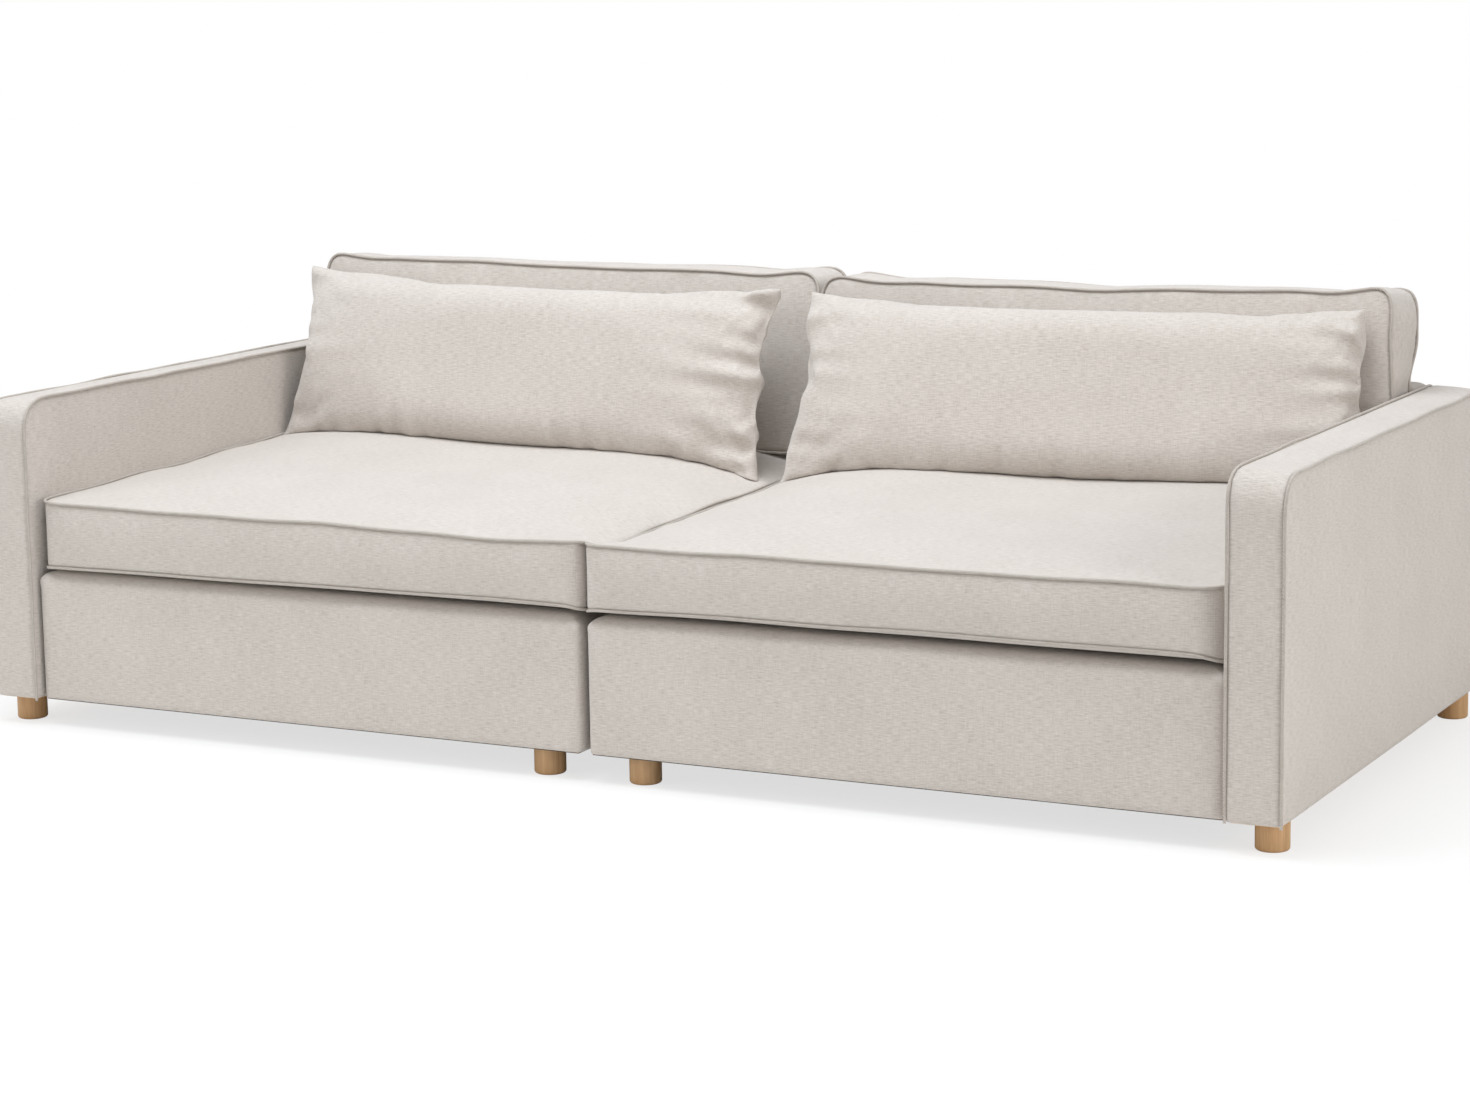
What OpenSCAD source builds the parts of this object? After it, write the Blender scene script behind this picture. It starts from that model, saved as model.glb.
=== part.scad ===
// Two-module sofa on round wooden legs, with loose seat, back and lumbar cushions.
// Millimetres. X runs along the sofa, -Y is the front, +Z is up, and the floor is z = 0.
// Every module below draws the right half; on_side("left") mirrors it.

/* [Overall] */
// Width over both arms
total_w = 2550; // [1900:10:3100]
// Depth over the arms
total_d = 1165; // [980:5:1400]
// Gap between the two bases and between the two backs
module_gap = 12; // [8:1:24]

/* [Arms] */
// Height of the arm above the floor
arm_h = 620; // [520:5:740]
// Thickness of the arm
arm_t = 100; // [90:2:160]
// Radius of the arm's top front corner
arm_front_r = 60; // [30:5:90]
// Radius of the arm's top rear corner
arm_rear_r = 20; // [15:1:40]
// Padding and cloth on the arm and back frames
wall_pad = 10; // [8:1:14]
// Diameter of the piping cord along the arm's edges
piping_d = 5; // [4:0.5:6]

/* [Back] */
// Thickness of the backrest
back_t = 100; // [90:2:140]
// Height of the backrest above the floor
back_h = 624; // [540:2:740]
// Radius of the backrest's top edges
back_r = 26; // [15:1:40]

/* [Base] */
// Height of the upholstered base, without the legs
base_h = 250; // [200:5:300]
// How far the base front sits behind the arm front
base_setback = 12; // [5:1:30]
// Padding and cloth on the base
base_pad = 8; // [6:1:12]
// Radius of the base's top edges
base_top_r = 22; // [12:1:30]
// Radius of the base's upright corners
base_corner_r = 18; // [12:1:30]

/* [Frame timber] */
// Thickness of the base rails
rail_t = 22; // [18:1:30]
// Depth of the rails and posts in the arms and the back
post_d = 40; // [35:1:60]
// Thickness of the fibreboard sheets on the arm and back frames
sheet_t = 3; // [2:0.5:5]
// Side of the corner blocks
block = 80; // [70:5:100]
// Height of the corner blocks
block_h = 45; // [40:5:70]

/* [Suspension] */
// Width of a webbing strap
strap_w = 60; // [40:5:70]
// Thickness of a webbing strap
strap_t = 2.5; // [2:0.5:3]
// Straps from front to rear
straps_long = 8; // [4:1:9]
// Straps from side to side
straps_cross = 6; // [3:1:8]
// Thickness of the foam sheet on the straps
deck_foam_t = 18; // [10:1:25]
// Thickness of the dust cover under the base
dust_t = 1.2; // [1:0.2:2]

/* [Legs] */
// Height of the legs
leg_h = 50; // [46:1:120]
// Diameter of the legs
leg_d = 57; // [46:1:60]
// Rounding of the leg's lower edge
leg_edge_r = 5; // [2:0.5:8]
// Outer leg's axis from the arm's outer face
leg_outer_x = 37; // [34:1:50]
// Inner leg's axis from the sofa's centre
leg_inner_x = 96; // [60:1:160]
// Front leg's axis from the arm's front face
leg_front_y = 62; // [55:1:100]
// Rear leg's axis from the rear face
leg_rear_y = 46; // [42:1:60]

/* [Fasteners] */
// Diameter of the bolts and of the leg studs
bolt_d = 8; // [6:1:10]
// Bore of the frame and leg holes over the bolt
bolt_play = 1; // [0.5:0.5:2]
// Length of the threaded inserts for the bolts and the studs
insert_len = 22; // [15:1:28]
// Length of the leg stud inside the leg
stud_in_leg = 30; // [20:1:40]

/* [Module connectors] */
// Length of the tongue inside its socket
tongue_in = 50; // [35:1:60]
// Width of the tongue
tongue_w = 34; // [25:1:45]
// Thickness of the tongue
tongue_t = 3.6; // [3:0.2:4]
// Play of the tongue in its socket, on each side
tongue_play = 0.5; // [0.3:0.1:1]

/* [Seat cushion] */
// Thickness of the seat cushion at its front edge
seat_front_t = 124; // [100:2:170]
// Thickness of the seat cushion at its rear edge
seat_rear_t = 152; // [110:2:200]
// Radius of the seat cushion's upright corners
seat_corner_r = 30; // [15:1:60]
// Room behind a cushion for its zip
zip_room = 9; // [8:0.5:12]

/* [Back cushion] */
// Height of the back cushion above the seat cushion
back_cushion_h = 350; // [300:2:420]
// Thickness of the back cushion at the seat
back_cushion_t = 122; // [100:2:150]
// How far the cushion's top front edge leans behind its foot
back_cushion_lean = 64; // [40:2:90]
// How far the cushion's top bulges over the backrest
back_cushion_over = 74; // [50:2:90]
// Radius of the back cushion's corners, seen from the front
back_cushion_r = 40; // [15:1:70]

/* [Lumbar pillow] */
// Length of the lumbar pillow
lumbar_w = 1146; // [800:2:1200]
// Height of the lumbar pillow from seam to seam
lumbar_h = 350; // [300:5:400]
// Thickness of the lumbar pillow
lumbar_t = 120; // [90:5:150]
// Tilt of the lumbar pillow from upright
lumbar_tilt = 16.5; // [12:0.5:20]
// Turn of the lumbar pillow, with its inner end forward
lumbar_turn = 4.8; // [0:0.1:6]
// Room between the pillow's outer end and the arm
lumbar_end_gap = 8; // [6:1:20]

/* [Cushion covers] */
// Thickness of a cushion cover with its wadding
cover_t = 8; // [6:0.5:12]
// Width of a zip tape
zip_w = 24; // [20:1:30]
// Share of the cushion's width that the zip opens
zip_share = 0.85; // [0.6:0.05:0.9]

/* [Hidden] */
$fn = 48;
SIDES = ["left", "right"];
PARTS = [
    "seat_frame", "webbing", "deck_foam", "base_cover", "dust_cover",
    "arm_frame", "arm_pad", "arm_piping", "back_frame", "back_pad",
    "seat_cushion_cover", "seat_cushion_foam", "seat_piping", "seat_zip", "seat_zip_slider",
    "back_cushion_cover", "back_cushion_fill", "back_piping", "back_zip", "back_zip_slider",
    "lumbar_cover", "lumbar_fill", "lumbar_zip", "lumbar_zip_slider",
    "leg_front_outer", "leg_front_inner", "leg_rear_outer", "leg_rear_inner",
    "fasteners", "connector"
];

e = 0.01;          // overlap of one shape with the next inside a union
cut = 1;           // how far a cutting shape runs past what it cuts
fit = 0.3;         // clearance between separate soft solids
thread = 0.05;     // clearance round a threaded shank
front = -total_d / 2;
rear = total_d / 2;
arm_x = total_w / 2 - arm_t;         // inner face of the arm
in_x = module_gap / 2;               // inner face of the base and of the back
base_w = arm_x - in_x;
base_front = front + base_setback;
back_y = rear - back_t;              // front face of the back
base_d = back_y - base_front;
base_top = leg_h + base_h;

// The hollow under the base's cloth, which the frame fills
hollow_x = in_x + base_pad;
hollow_end = arm_x - base_pad;
hollow_y = base_front + base_pad;
hollow_back = back_y - base_pad;
hollow_w = hollow_end - hollow_x;
hollow_d = hollow_back - hollow_y;
hollow_top = base_top - base_pad;

// An edge is rounded only as far as leaves 2 mm of cloth over the frame's square corner
function edge_r(r, pad) = min(r, (sqrt(2) * pad - 2) / (sqrt(2) - 1));

// How far a rounded edge of radius r has fallen, at a distance d in from the face below it
function edge_fall(r, d) = d >= r ? 0 : r - sqrt(r * r - (r - d) * (r - d));

// The base frame, from the floor up
frame_z = leg_h + dust_t;
straps_z = hollow_top - deck_foam_t - 2 * strap_t;
rail_h = straps_z - frame_z;

// The hollow in the arm and in the back
arm_in_x = arm_x + wall_pad;
arm_in_w = arm_t - 2 * wall_pad;
back_in_x = in_x + wall_pad;
back_in_y = back_y + wall_pad;
back_in_w = base_w - 2 * wall_pad;
back_in_d = back_t - 2 * wall_pad;
back_in_top = back_h - back_r;

// Leg axes: outer and inner, front and rear
leg_xs = [total_w / 2 - leg_outer_x, leg_inner_x];
leg_ys = [front + leg_front_y, rear - leg_rear_y];

// Frame bolts, each from a rail's inner face into an insert behind the next frame's sheet
bolt_r = bolt_d / 2;
hole_r = (bolt_d + bolt_play) / 2;
insert_r = bolt_r + 2;
head_r = bolt_r + 4;
head_t = 4;
bolt_grip = rail_t + base_pad + wall_pad + sheet_t;
bolt_z = frame_z + block_h / 2;
end_bolt_in = rail_t + block + 2 * head_r;
arm_bolt_ys = [hollow_y + end_bolt_in, (hollow_y + hollow_back) / 2, hollow_back - end_bolt_in];
back_bolt_xs = [for (k = [1:4]) hollow_x + hollow_w * k / 5];
arm_bolt_x = hollow_end - rail_t;
back_bolt_y = hollow_back - rail_t;

// Connectors under the base
connector_ys = [hollow_y + 0.22 * hollow_d, hollow_y + 0.83 * hollow_d];
plate_t = 2.5;
plate_w = 76;
plate_x = in_x + 6;
plate_len = 60;
screw_r = 2;
screw_head_r = 4;
screw_head_t = 2;
screw_len = 22;
slot_h = tongue_t + 2 * tongue_play;
socket_h = slot_h + 2 * plate_t;
tongue_z = leg_h - plate_t - tongue_play - tongue_t;

// Piping: a cord's axis lies this far inside the edge that it covers
piping_r = piping_d / 2;
piping_in = 0.6 * piping_r;
piping_out = piping_r - piping_in;   // how far the cord stands out from the cushion
notch = piping_in + piping_r + 0.1;  // side of the step that a cord lies in
knuckle = 0.04;    // how far the ball in a cord's sharp bend stands out

// Seat cushion
seat_x = 2.5;
seat_end = arm_x - 2.5;
seat_w = seat_end - seat_x;
seat_front = base_front - 2;
seat_back = back_y - zip_room;
seat_d = seat_back - seat_front;
// The lower cord hangs over the base's rounded rear edge, or else the cushion rests on it
base_fall = edge_fall(edge_r(base_top_r, base_pad), zip_room + piping_in + piping_r);
seat_z = base_top + fit + max(piping_out - base_fall, 0);
seat_top = seat_z + seat_rear_t;
seat_tilt = atan((seat_rear_t - seat_front_t) / seat_d);

// Back cushion: its front leans back, and above the backrest its rear bulges
bc_x = 4;
bc_end = arm_x - 5;
bc_w = bc_end - bc_x;
bc_z = seat_top + 2 * piping_out + fit;
bc_top = bc_z + back_cushion_h;
bc_rear = back_y - zip_room;
bc_front = bc_rear - back_cushion_t;
bc_tilt = atan(back_cushion_lean / back_cushion_h);
bulge_z = back_h + 14;
bulge_top = bulge_z + 0.8 * back_cushion_over;
bulge_y = bc_rear + back_cushion_over;

// Lumbar pillow: two arcs make its lens-shaped section, whose foot is the pivot of its tilt
lens_r = (lumbar_h * lumbar_h + lumbar_t * lumbar_t) / (4 * lumbar_t);
lens_off = lens_r - lumbar_t / 2;
lens_centre_y = lumbar_h / 2 * sin(lumbar_tilt) - lens_off * cos(lumbar_tilt);
lens_centre_z = lumbar_h / 2 * cos(lumbar_tilt) + lens_off * sin(lumbar_tilt);
lumbar_touch = 0.7;
lumbar_x = arm_x - lumbar_end_gap;
// Its foot stands on the sloping seat, and its rear arc just clears the back cushion's front
lumbar_z_at_0 = seat_z + seat_front_t + fit - seat_front * tan(seat_tilt);
lumbar_y = (bc_front + (lumbar_z_at_0 + lens_centre_z - bc_z) * tan(bc_tilt) - lens_centre_y
    - (lens_r + lumbar_touch) / cos(bc_tilt)) / (1 - tan(bc_tilt) * tan(seat_tilt));
lumbar_z = lumbar_z_at_0 + lumbar_y * tan(seat_tilt);

// Zips
tape_t = 0.8;
coil_w = 5;
coil_t = 1.6;
zip_play = 0.3;
slider_len = 12;
slider_w = 9;
slider_t = 3.2;
tab_w = 6;
tab_len = 22;
tab_t = 1.2;
seat_zip_len = seat_w * zip_share;
seat_zip_z = seat_z + seat_rear_t / 2;
back_zip_z = bc_z + 60;
lumbar_zip_len = lumbar_w * zip_share;
lumbar_zip_up = 34;
lumbar_zip_angle = asin((lumbar_h / 2 - lumbar_zip_up) / lens_r);

timber_tone = [0.83, 0.70, 0.50];
oak_tone = [0.70, 0.53, 0.36];
cloth_tone = [0.82, 0.79, 0.75];
piping_tone = [0.72, 0.70, 0.66];
foam_tone = [0.93, 0.90, 0.78];
dust_tone = [0.12, 0.12, 0.13];
strap_tone = [0.30, 0.26, 0.22];
steel_tone = [0.70, 0.71, 0.73];
zip_tone = [0.62, 0.60, 0.57];

module on_side(side) {
    if (side == "left") mirror([1, 0, 0]) children();
    else children();
}

// A box given by two opposite corners
module block_between(low, high) {
    translate(low) cube(high - low);
}

// A rod along Y or X
module rod_y(r, len) {
    rotate([-90, 0, 0]) cylinder(r = r, h = len);
}
module rod_x(r, len) {
    rotate([0, 90, 0]) cylinder(r = r, h = len);
}

// Draws a flat shape, given in [y, z], as a slab that runs along X
module along_x(x, len) {
    translate([x, 0, 0]) rotate([90, 0, 90]) linear_extrude(len) children();
}

// Upright rectangle with both top corners rounded
module arch(w, h, r_left, r_right) {
    union() {
        square([w, h - max(r_left, r_right)]);
        translate([r_left, 0]) square([w - r_left - r_right, h]);
        square([r_left, h - r_left]);
        translate([w - r_right, 0]) square([r_right, h - r_right]);
        translate([r_left, h - r_left]) circle(r_left);
        translate([w - r_right, h - r_right]) circle(r_right);
    }
}

// Rectangle with all corners rounded
module soft_rectangle(w, d, r) {
    union() {
        translate([r, 0]) square([w - 2 * r, d]);
        translate([0, r]) square([w, d - 2 * r]);
        for (x = [r, w - r], y = [r, d - r]) translate([x, y]) circle(r);
    }
}

// Upholstered block: rounded upright corners and rounded top edges
module soft_block(size, corner_r, top_r) {
    intersection() {
        linear_extrude(size.z) soft_rectangle(size.x, size.y, corner_r);
        along_x(0, size.x) arch(size.y, size.z, top_r, top_r);
        translate([0, size.y, 0]) rotate([90, 0, 0])
            linear_extrude(size.y) arch(size.x, size.z, top_r, top_r);
    }
}

// Piping cord upright in XZ: up one side, over the top and down the other
module cord_arch(w, h, bend_first, bend_last) {
    module bend(b) {
        rotate([90, 0, 0]) rotate_extrude(angle = 90) translate([b, 0]) circle(piping_r);
    }
    union() {
        cylinder(r = piping_r, h = h - bend_first);
        translate([w, 0, 0]) cylinder(r = piping_r, h = h - bend_last);
        translate([bend_first, 0, h]) rod_x(piping_r, w - bend_first - bend_last);
        translate([bend_first, 0, h - bend_first]) mirror([1, 0, 0]) bend(bend_first);
        translate([w - bend_last, 0, h - bend_last]) bend(bend_last);
    }
}

// Piping cord flat in XY, round a rectangle with rounded corners
module cord_loop(w, d, bend) {
    translate([0, d / 2, 0]) union() {
        rotate([-90, 0, 0]) cord_arch(w, d / 2, bend, bend);
        rotate([90, 0, 0]) cord_arch(w, d / 2, bend, bend);
    }
}

// ---------- base ----------

// Rails, a low middle beam and glued blocks; the blocks take the inner leg and the connectors
module seat_frame() {
    inner_x = hollow_x + rail_t;
    inner_y = hollow_y + rail_t;
    inner_end = hollow_end - rail_t;
    inner_back = hollow_back - rail_t;
    color(timber_tone) difference() {
        union() {
            difference() {
                block_between([hollow_x, hollow_y, frame_z], [hollow_end, hollow_back, straps_z]);
                block_between([inner_x, inner_y, frame_z - cut], [inner_end, inner_back, straps_z + cut]);
            }
            // The middle beam stays low, so that the straps can sink
            translate([(inner_x + inner_end - rail_t) / 2, inner_y - e, frame_z])
                cube([rail_t, inner_back - inner_y + 2 * e, rail_h / 2]);
            for (x = [inner_x - e, inner_end - block], y = [inner_y - e, inner_back - block])
                translate([x, y, frame_z]) cube([block + e, block + e, block_h]);
            for (y = connector_ys)
                translate([inner_x - e, y - plate_w / 2, frame_z])
                    cube([plate_x + plate_len - inner_x, plate_w, block_h]);
        }
        for (y = arm_bolt_ys) translate([arm_bolt_x - cut, y, bolt_z]) rod_x(hole_r, rail_t + 2 * cut);
        for (x = back_bolt_xs) translate([x, back_bolt_y - cut, bolt_z]) rod_y(hole_r, rail_t + 2 * cut);
        translate([leg_xs[1], leg_ys[0], frame_z - cut]) cylinder(r = insert_r, h = insert_len + cut);
        at_connector_screws()
            translate([0, 0, frame_z - cut]) cylinder(r = screw_r + thread, h = screw_len + 2 * cut);
    }
}

// Straps tacked on the rails: long ones below, cross ones on top
module webbing() {
    color(strap_tone) {
        for (k = [1:straps_long])
            translate([hollow_x + hollow_w * k / (straps_long + 1) - strap_w / 2, hollow_y, straps_z])
                cube([strap_w, hollow_d, strap_t]);
        for (k = [1:straps_cross]) {
            y = hollow_y + hollow_d * k / (straps_cross + 1) - strap_w / 2;
            translate([hollow_x, y, straps_z + strap_t]) cube([hollow_w, strap_w, strap_t]);
        }
    }
}

module deck_foam() {
    color(foam_tone)
        translate([hollow_x, hollow_y, hollow_top - deck_foam_t]) cube([hollow_w, hollow_d, deck_foam_t]);
}

// Padded cloth over the base, open below, with a hole for each frame bolt
module base_cover() {
    color(cloth_tone) difference() {
        translate([in_x, base_front, leg_h]) soft_block(
            [base_w, base_d, base_h], edge_r(base_corner_r, base_pad), edge_r(base_top_r, base_pad)
        );
        block_between([hollow_x, hollow_y, leg_h - cut], [hollow_end, hollow_back, hollow_top]);
        for (y = arm_bolt_ys) translate([hollow_end - cut, y, bolt_z]) rod_x(hole_r, base_pad + 2 * cut);
        for (x = back_bolt_xs) translate([x, hollow_back - cut, bolt_z]) rod_y(hole_r, base_pad + 2 * cut);
    }
}

module dust_cover() {
    color(dust_tone) difference() {
        translate([hollow_x, hollow_y, leg_h]) cube([hollow_w, hollow_d, dust_t]);
        translate([leg_xs[1], leg_ys[0], leg_h - cut]) cylinder(r = hole_r, h = dust_t + 2 * cut);
        at_connector_screws()
            translate([0, 0, leg_h - cut]) cylinder(r = screw_r + 0.5, h = dust_t + 2 * cut);
    }
}

// ---------- arm ----------

// Side outline of the arm, drawn in [y, z] and pulled in all round but at the bottom
module arm_outline(inset) {
    translate([front + inset, leg_h])
        arch(total_d - 2 * inset, arm_h - leg_h - inset, arm_front_r - inset, max(arm_rear_r - inset, 2));
}

// Outer and inner panels with a boxing band between; the piping lies in the notch at each edge
module arm_pad() {
    color(cloth_tone) difference() {
        union() {
            along_x(arm_x, piping_d + e) arm_outline(piping_d);
            along_x(arm_x + piping_d, arm_t - 2 * piping_d) arm_outline(0);
            along_x(arm_x + arm_t - piping_d - e, piping_d + e) arm_outline(piping_d);
        }
        along_x(arm_in_x, arm_in_w) union() {
            arm_outline(wall_pad);
            translate([0, -cut]) arm_outline(wall_pad);
        }
        for (y = arm_bolt_ys) translate([arm_x - cut, y, bolt_z]) rod_x(hole_r, wall_pad + 2 * cut);
    }
}

// One cord up the front, over the top and down the rear at each side of the arm
module arm_piping() {
    color(piping_tone)
        for (x = [arm_x + piping_r, arm_x + arm_t - piping_r])
            translate([x, front + piping_r, leg_h]) rotate([0, 0, 90])
                cord_arch(
                    total_d - piping_d, arm_h - piping_r - leg_h,
                    arm_front_r - piping_r, arm_rear_r - piping_r
                );
}

// Rails and posts between two fibreboard sheets, which together fill the arm's hollow
module arm_frame() {
    timber_x = arm_in_x + sheet_t;
    timber_w = arm_in_w - 2 * sheet_t;
    y0 = front + wall_pad;
    y1 = rear - wall_pad;
    top = arm_h - wall_pad;
    module timber(y, d, z, h) {
        translate([timber_x - e, y, z]) cube([timber_w + 2 * e, d, h]);
    }
    color(timber_tone) difference() {
        intersection() {
            union() {
                along_x(arm_in_x, sheet_t) arm_outline(wall_pad);
                along_x(arm_in_x + arm_in_w - sheet_t, sheet_t) arm_outline(wall_pad);
                timber(y0, y1 - y0, leg_h, post_d);
                timber(y0, y1 - y0, top - rail_t, rail_t);
                for (y = [y0, -post_d / 2, y1 - post_d]) timber(y, post_d, leg_h, top - leg_h);
            }
            along_x(arm_in_x, arm_in_w) arm_outline(wall_pad);
        }
        for (y = arm_bolt_ys)
            translate([arm_in_x - cut, y, bolt_z]) rod_x(insert_r, sheet_t + insert_len + cut);
        for (y = leg_ys) translate([leg_xs[0], y, leg_h - cut]) cylinder(r = insert_r, h = insert_len + cut);
    }
}

// ---------- back ----------

module back_pad() {
    color(cloth_tone) difference() {
        translate([in_x, back_y, leg_h])
            soft_block([base_w, back_t, back_h - leg_h], edge_r(base_corner_r, wall_pad), back_r);
        translate([back_in_x, back_in_y, leg_h - cut])
            cube([back_in_w, back_in_d, back_in_top - leg_h + cut]);
        for (x = back_bolt_xs) translate([x, back_y - cut, bolt_z]) rod_y(hole_r, wall_pad + 2 * cut);
    }
}

// Rails and posts between two fibreboard sheets, which together fill the back's hollow
module back_frame() {
    h = back_in_top - leg_h;
    timber_d = back_in_d - 2 * sheet_t + 2 * e;
    color(timber_tone) difference() {
        translate([back_in_x, back_in_y, leg_h]) union() {
            for (y = [0, back_in_d - sheet_t]) translate([0, y, 0]) cube([back_in_w, sheet_t, h]);
            translate([0, sheet_t - e, 0]) {
                cube([back_in_w, timber_d, post_d]);
                translate([0, 0, h - rail_t]) cube([back_in_w, timber_d, rail_t]);
                for (x = [0, (back_in_w - post_d) / 2, back_in_w - post_d])
                    translate([x, 0, 0]) cube([post_d, timber_d, h]);
            }
        }
        for (x = back_bolt_xs)
            translate([x, back_in_y - cut, bolt_z]) rod_y(insert_r, sheet_t + insert_len + cut);
        translate([leg_xs[1], leg_ys[1], leg_h - cut]) cylinder(r = insert_r, h = insert_len + cut);
    }
}

// ---------- legs and fasteners ----------

// Turned leg with a rounded foot and a blind bore for its stud
module leg(column, row) {
    r = leg_d / 2;
    color(oak_tone) translate([leg_xs[column], leg_ys[row], 0]) difference() {
        rotate_extrude() union() {
            square([r - leg_edge_r, leg_h]);
            translate([0, leg_edge_r]) square([r, leg_h - leg_edge_r]);
            translate([r - leg_edge_r, leg_edge_r]) circle(leg_edge_r);
        }
        translate([0, 0, leg_h - stud_in_leg]) cylinder(r = bolt_r + thread, h = stud_in_leg + cut);
    }
}

// Threaded insert along +Z
module threaded_insert() {
    difference() {
        cylinder(r = insert_r, h = insert_len);
        translate([0, 0, -cut]) cylinder(r = bolt_r + thread, h = insert_len + 2 * cut);
    }
}

// Headless stud that screws the leg to an insert in the timber above
module stud(x, y, timber_z) {
    foot = leg_h - stud_in_leg;
    translate([x, y, foot]) cylinder(r = bolt_r, h = timber_z + insert_len - foot);
    translate([x, y, timber_z]) threaded_insert();
}

// Flat-headed bolt along +Z from the underside of its head, with its insert
module frame_bolt() {
    union() {
        translate([0, 0, -head_t]) cylinder(r = head_r, h = head_t);
        translate([0, 0, -e]) cylinder(r = bolt_r, h = bolt_grip + insert_len + e);
    }
    translate([0, 0, bolt_grip]) threaded_insert();
}

module screw() {
    translate([0, 0, leg_h - plate_t - screw_head_t]) cylinder(r = screw_head_r, h = screw_head_t);
    translate([0, 0, leg_h - plate_t - e]) cylinder(r = screw_r, h = plate_t + dust_t + screw_len);
}

module fasteners() {
    color(steel_tone) {
        at_connector_screws() screw();
        for (y = leg_ys) stud(leg_xs[0], y, leg_h);
        stud(leg_xs[1], leg_ys[0], frame_z);
        stud(leg_xs[1], leg_ys[1], leg_h);
        for (y = arm_bolt_ys) translate([arm_bolt_x, y, bolt_z]) rotate([0, 90, 0]) frame_bolt();
        for (x = back_bolt_xs) translate([x, back_bolt_y, bolt_z]) rotate([-90, 0, 0]) frame_bolt();
    }
}

// Each connector has a screw at the corners of its plate
module at_connector_screws() {
    for (y = connector_ys, x = [plate_x + 12, plate_x + plate_len - 10], side = [-1, 1])
        translate([x, y + side * (plate_w / 2 - 9), 0]) children();
}

module connector_plates() {
    difference() {
        for (y = connector_ys)
            translate([plate_x, y - plate_w / 2, leg_h - plate_t]) cube([plate_len, plate_w, plate_t]);
        at_connector_screws()
            translate([0, 0, leg_h - plate_t - cut]) cylinder(r = screw_r + thread, h = plate_t + 2 * cut);
    }
}

// Sleeve under the left module's plate, open towards the other module
module socket(y) {
    wide = tongue_w + 2 * tongue_play;
    z = leg_h - socket_h;
    difference() {
        translate([plate_x, y - wide / 2 - plate_t, z])
            cube([tongue_in + 4, wide + 2 * plate_t, socket_h - plate_t + e]);
        translate([plate_x - cut, y - wide / 2, z + plate_t]) cube([tongue_in + 6, wide, slot_h]);
    }
}

// Tongue under the right module's plate, which slides into the socket
module tongue(y) {
    tip = -plate_x - tongue_in;
    neck = 18;
    union() {
        translate([plate_x, y - tongue_w / 2, tongue_z])
            cube([neck, tongue_w, leg_h - plate_t - tongue_z + e]);
        translate([tip + tongue_w / 2, y - tongue_w / 2, tongue_z])
            cube([plate_x - tip - tongue_w / 2 + neck, tongue_w, tongue_t]);
        translate([tip + tongue_w / 2, y, tongue_z]) cylinder(r = tongue_w / 2, h = tongue_t);
    }
}

module connector(side) {
    color(steel_tone) {
        connector_plates();
        for (y = connector_ys) {
            if (side == "left") socket(y);
            else tongue(y);
        }
    }
}

// ---------- zips ----------

// Zip tape with its coil, flat on the plane y = 0 and centred on the origin
module zip_run(len) {
    color(zip_tone) {
        translate([-len / 2, 0, -zip_w / 2]) cube([len, tape_t, zip_w]);
        translate([-len / 2, tape_t, -coil_w / 2]) cube([len, coil_t, coil_w]);
    }
}

// Slider that straddles the coil, and its pull tab, at the zip's end at +x
module zip_slider(len) {
    x = len / 2 - slider_len - 2;
    y0 = tape_t + zip_play;
    color(steel_tone) translate([x, 0, 0]) {
        difference() {
            translate([0, y0, -slider_w / 2]) cube([slider_len, slider_t, slider_w]);
            translate([-cut, y0 - cut, -coil_w / 2 - zip_play])
                cube([slider_len + 2 * cut, coil_t + cut, coil_w + 2 * zip_play]);
        }
        translate([(slider_len - tab_w) / 2, y0 + slider_t - tab_t, -slider_w / 2 - tab_len])
            cube([tab_w, tab_t, tab_len + e]);
    }
}

// Puts a zip against a cushion's rear face
module on_rear_face(y, z) {
    translate([(seat_x + seat_end) / 2, y, z]) children();
}

// Puts a zip against the pillow's rear face, above the lower seam
module on_lumbar_rear() {
    lumbar_place()
        translate([-lumbar_w / 2, lens_r * cos(lumbar_zip_angle) - lens_off, lumbar_zip_up])
            rotate([-lumbar_zip_angle, 0, 0]) children();
}

// ---------- seat cushion ----------

// Block with a sloping top and rounded upright corners, pulled in by a margin for each pair of faces
module seat_block(side_in, end_in) {
    y0 = seat_front + side_in;
    y1 = seat_back - side_in;
    z = seat_z + seat_front_t - end_in;
    slope = tan(seat_tilt);
    intersection() {
        along_x(seat_x, seat_w) polygon([
            [y0, seat_z + end_in],
            [y1, seat_z + end_in],
            [y1, z + (y1 - seat_front) * slope],
            [y0, z + (y0 - seat_front) * slope]
        ]);
        translate([seat_x + side_in, y0, seat_z])
            linear_extrude(seat_rear_t + cut)
                soft_rectangle(seat_w - 2 * side_in, y1 - y0, max(seat_corner_r - side_in, 2));
    }
}

// Cords round the lower and the upper edge
module seat_piping() {
    w = seat_w - 2 * piping_in;
    d = seat_d - 2 * piping_in;
    bend = seat_corner_r - piping_in;
    color(piping_tone) translate([seat_x + piping_in, seat_front + piping_in, seat_z]) {
        translate([0, 0, piping_in]) cord_loop(w, d, bend);
        translate([0, 0, seat_front_t - piping_in])
            rotate([seat_tilt, 0, 0]) cord_loop(w, d / cos(seat_tilt), bend);
    }
}

module seat_cushion_cover() {
    color(cloth_tone) difference() {
        union() {
            seat_block(0, notch);
            seat_block(notch, 0);
        }
        seat_block(cover_t, cover_t);
    }
}

module seat_cushion_foam() {
    color(foam_tone) seat_block(cover_t + fit, cover_t + fit);
}

// ---------- back cushion ----------

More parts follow.
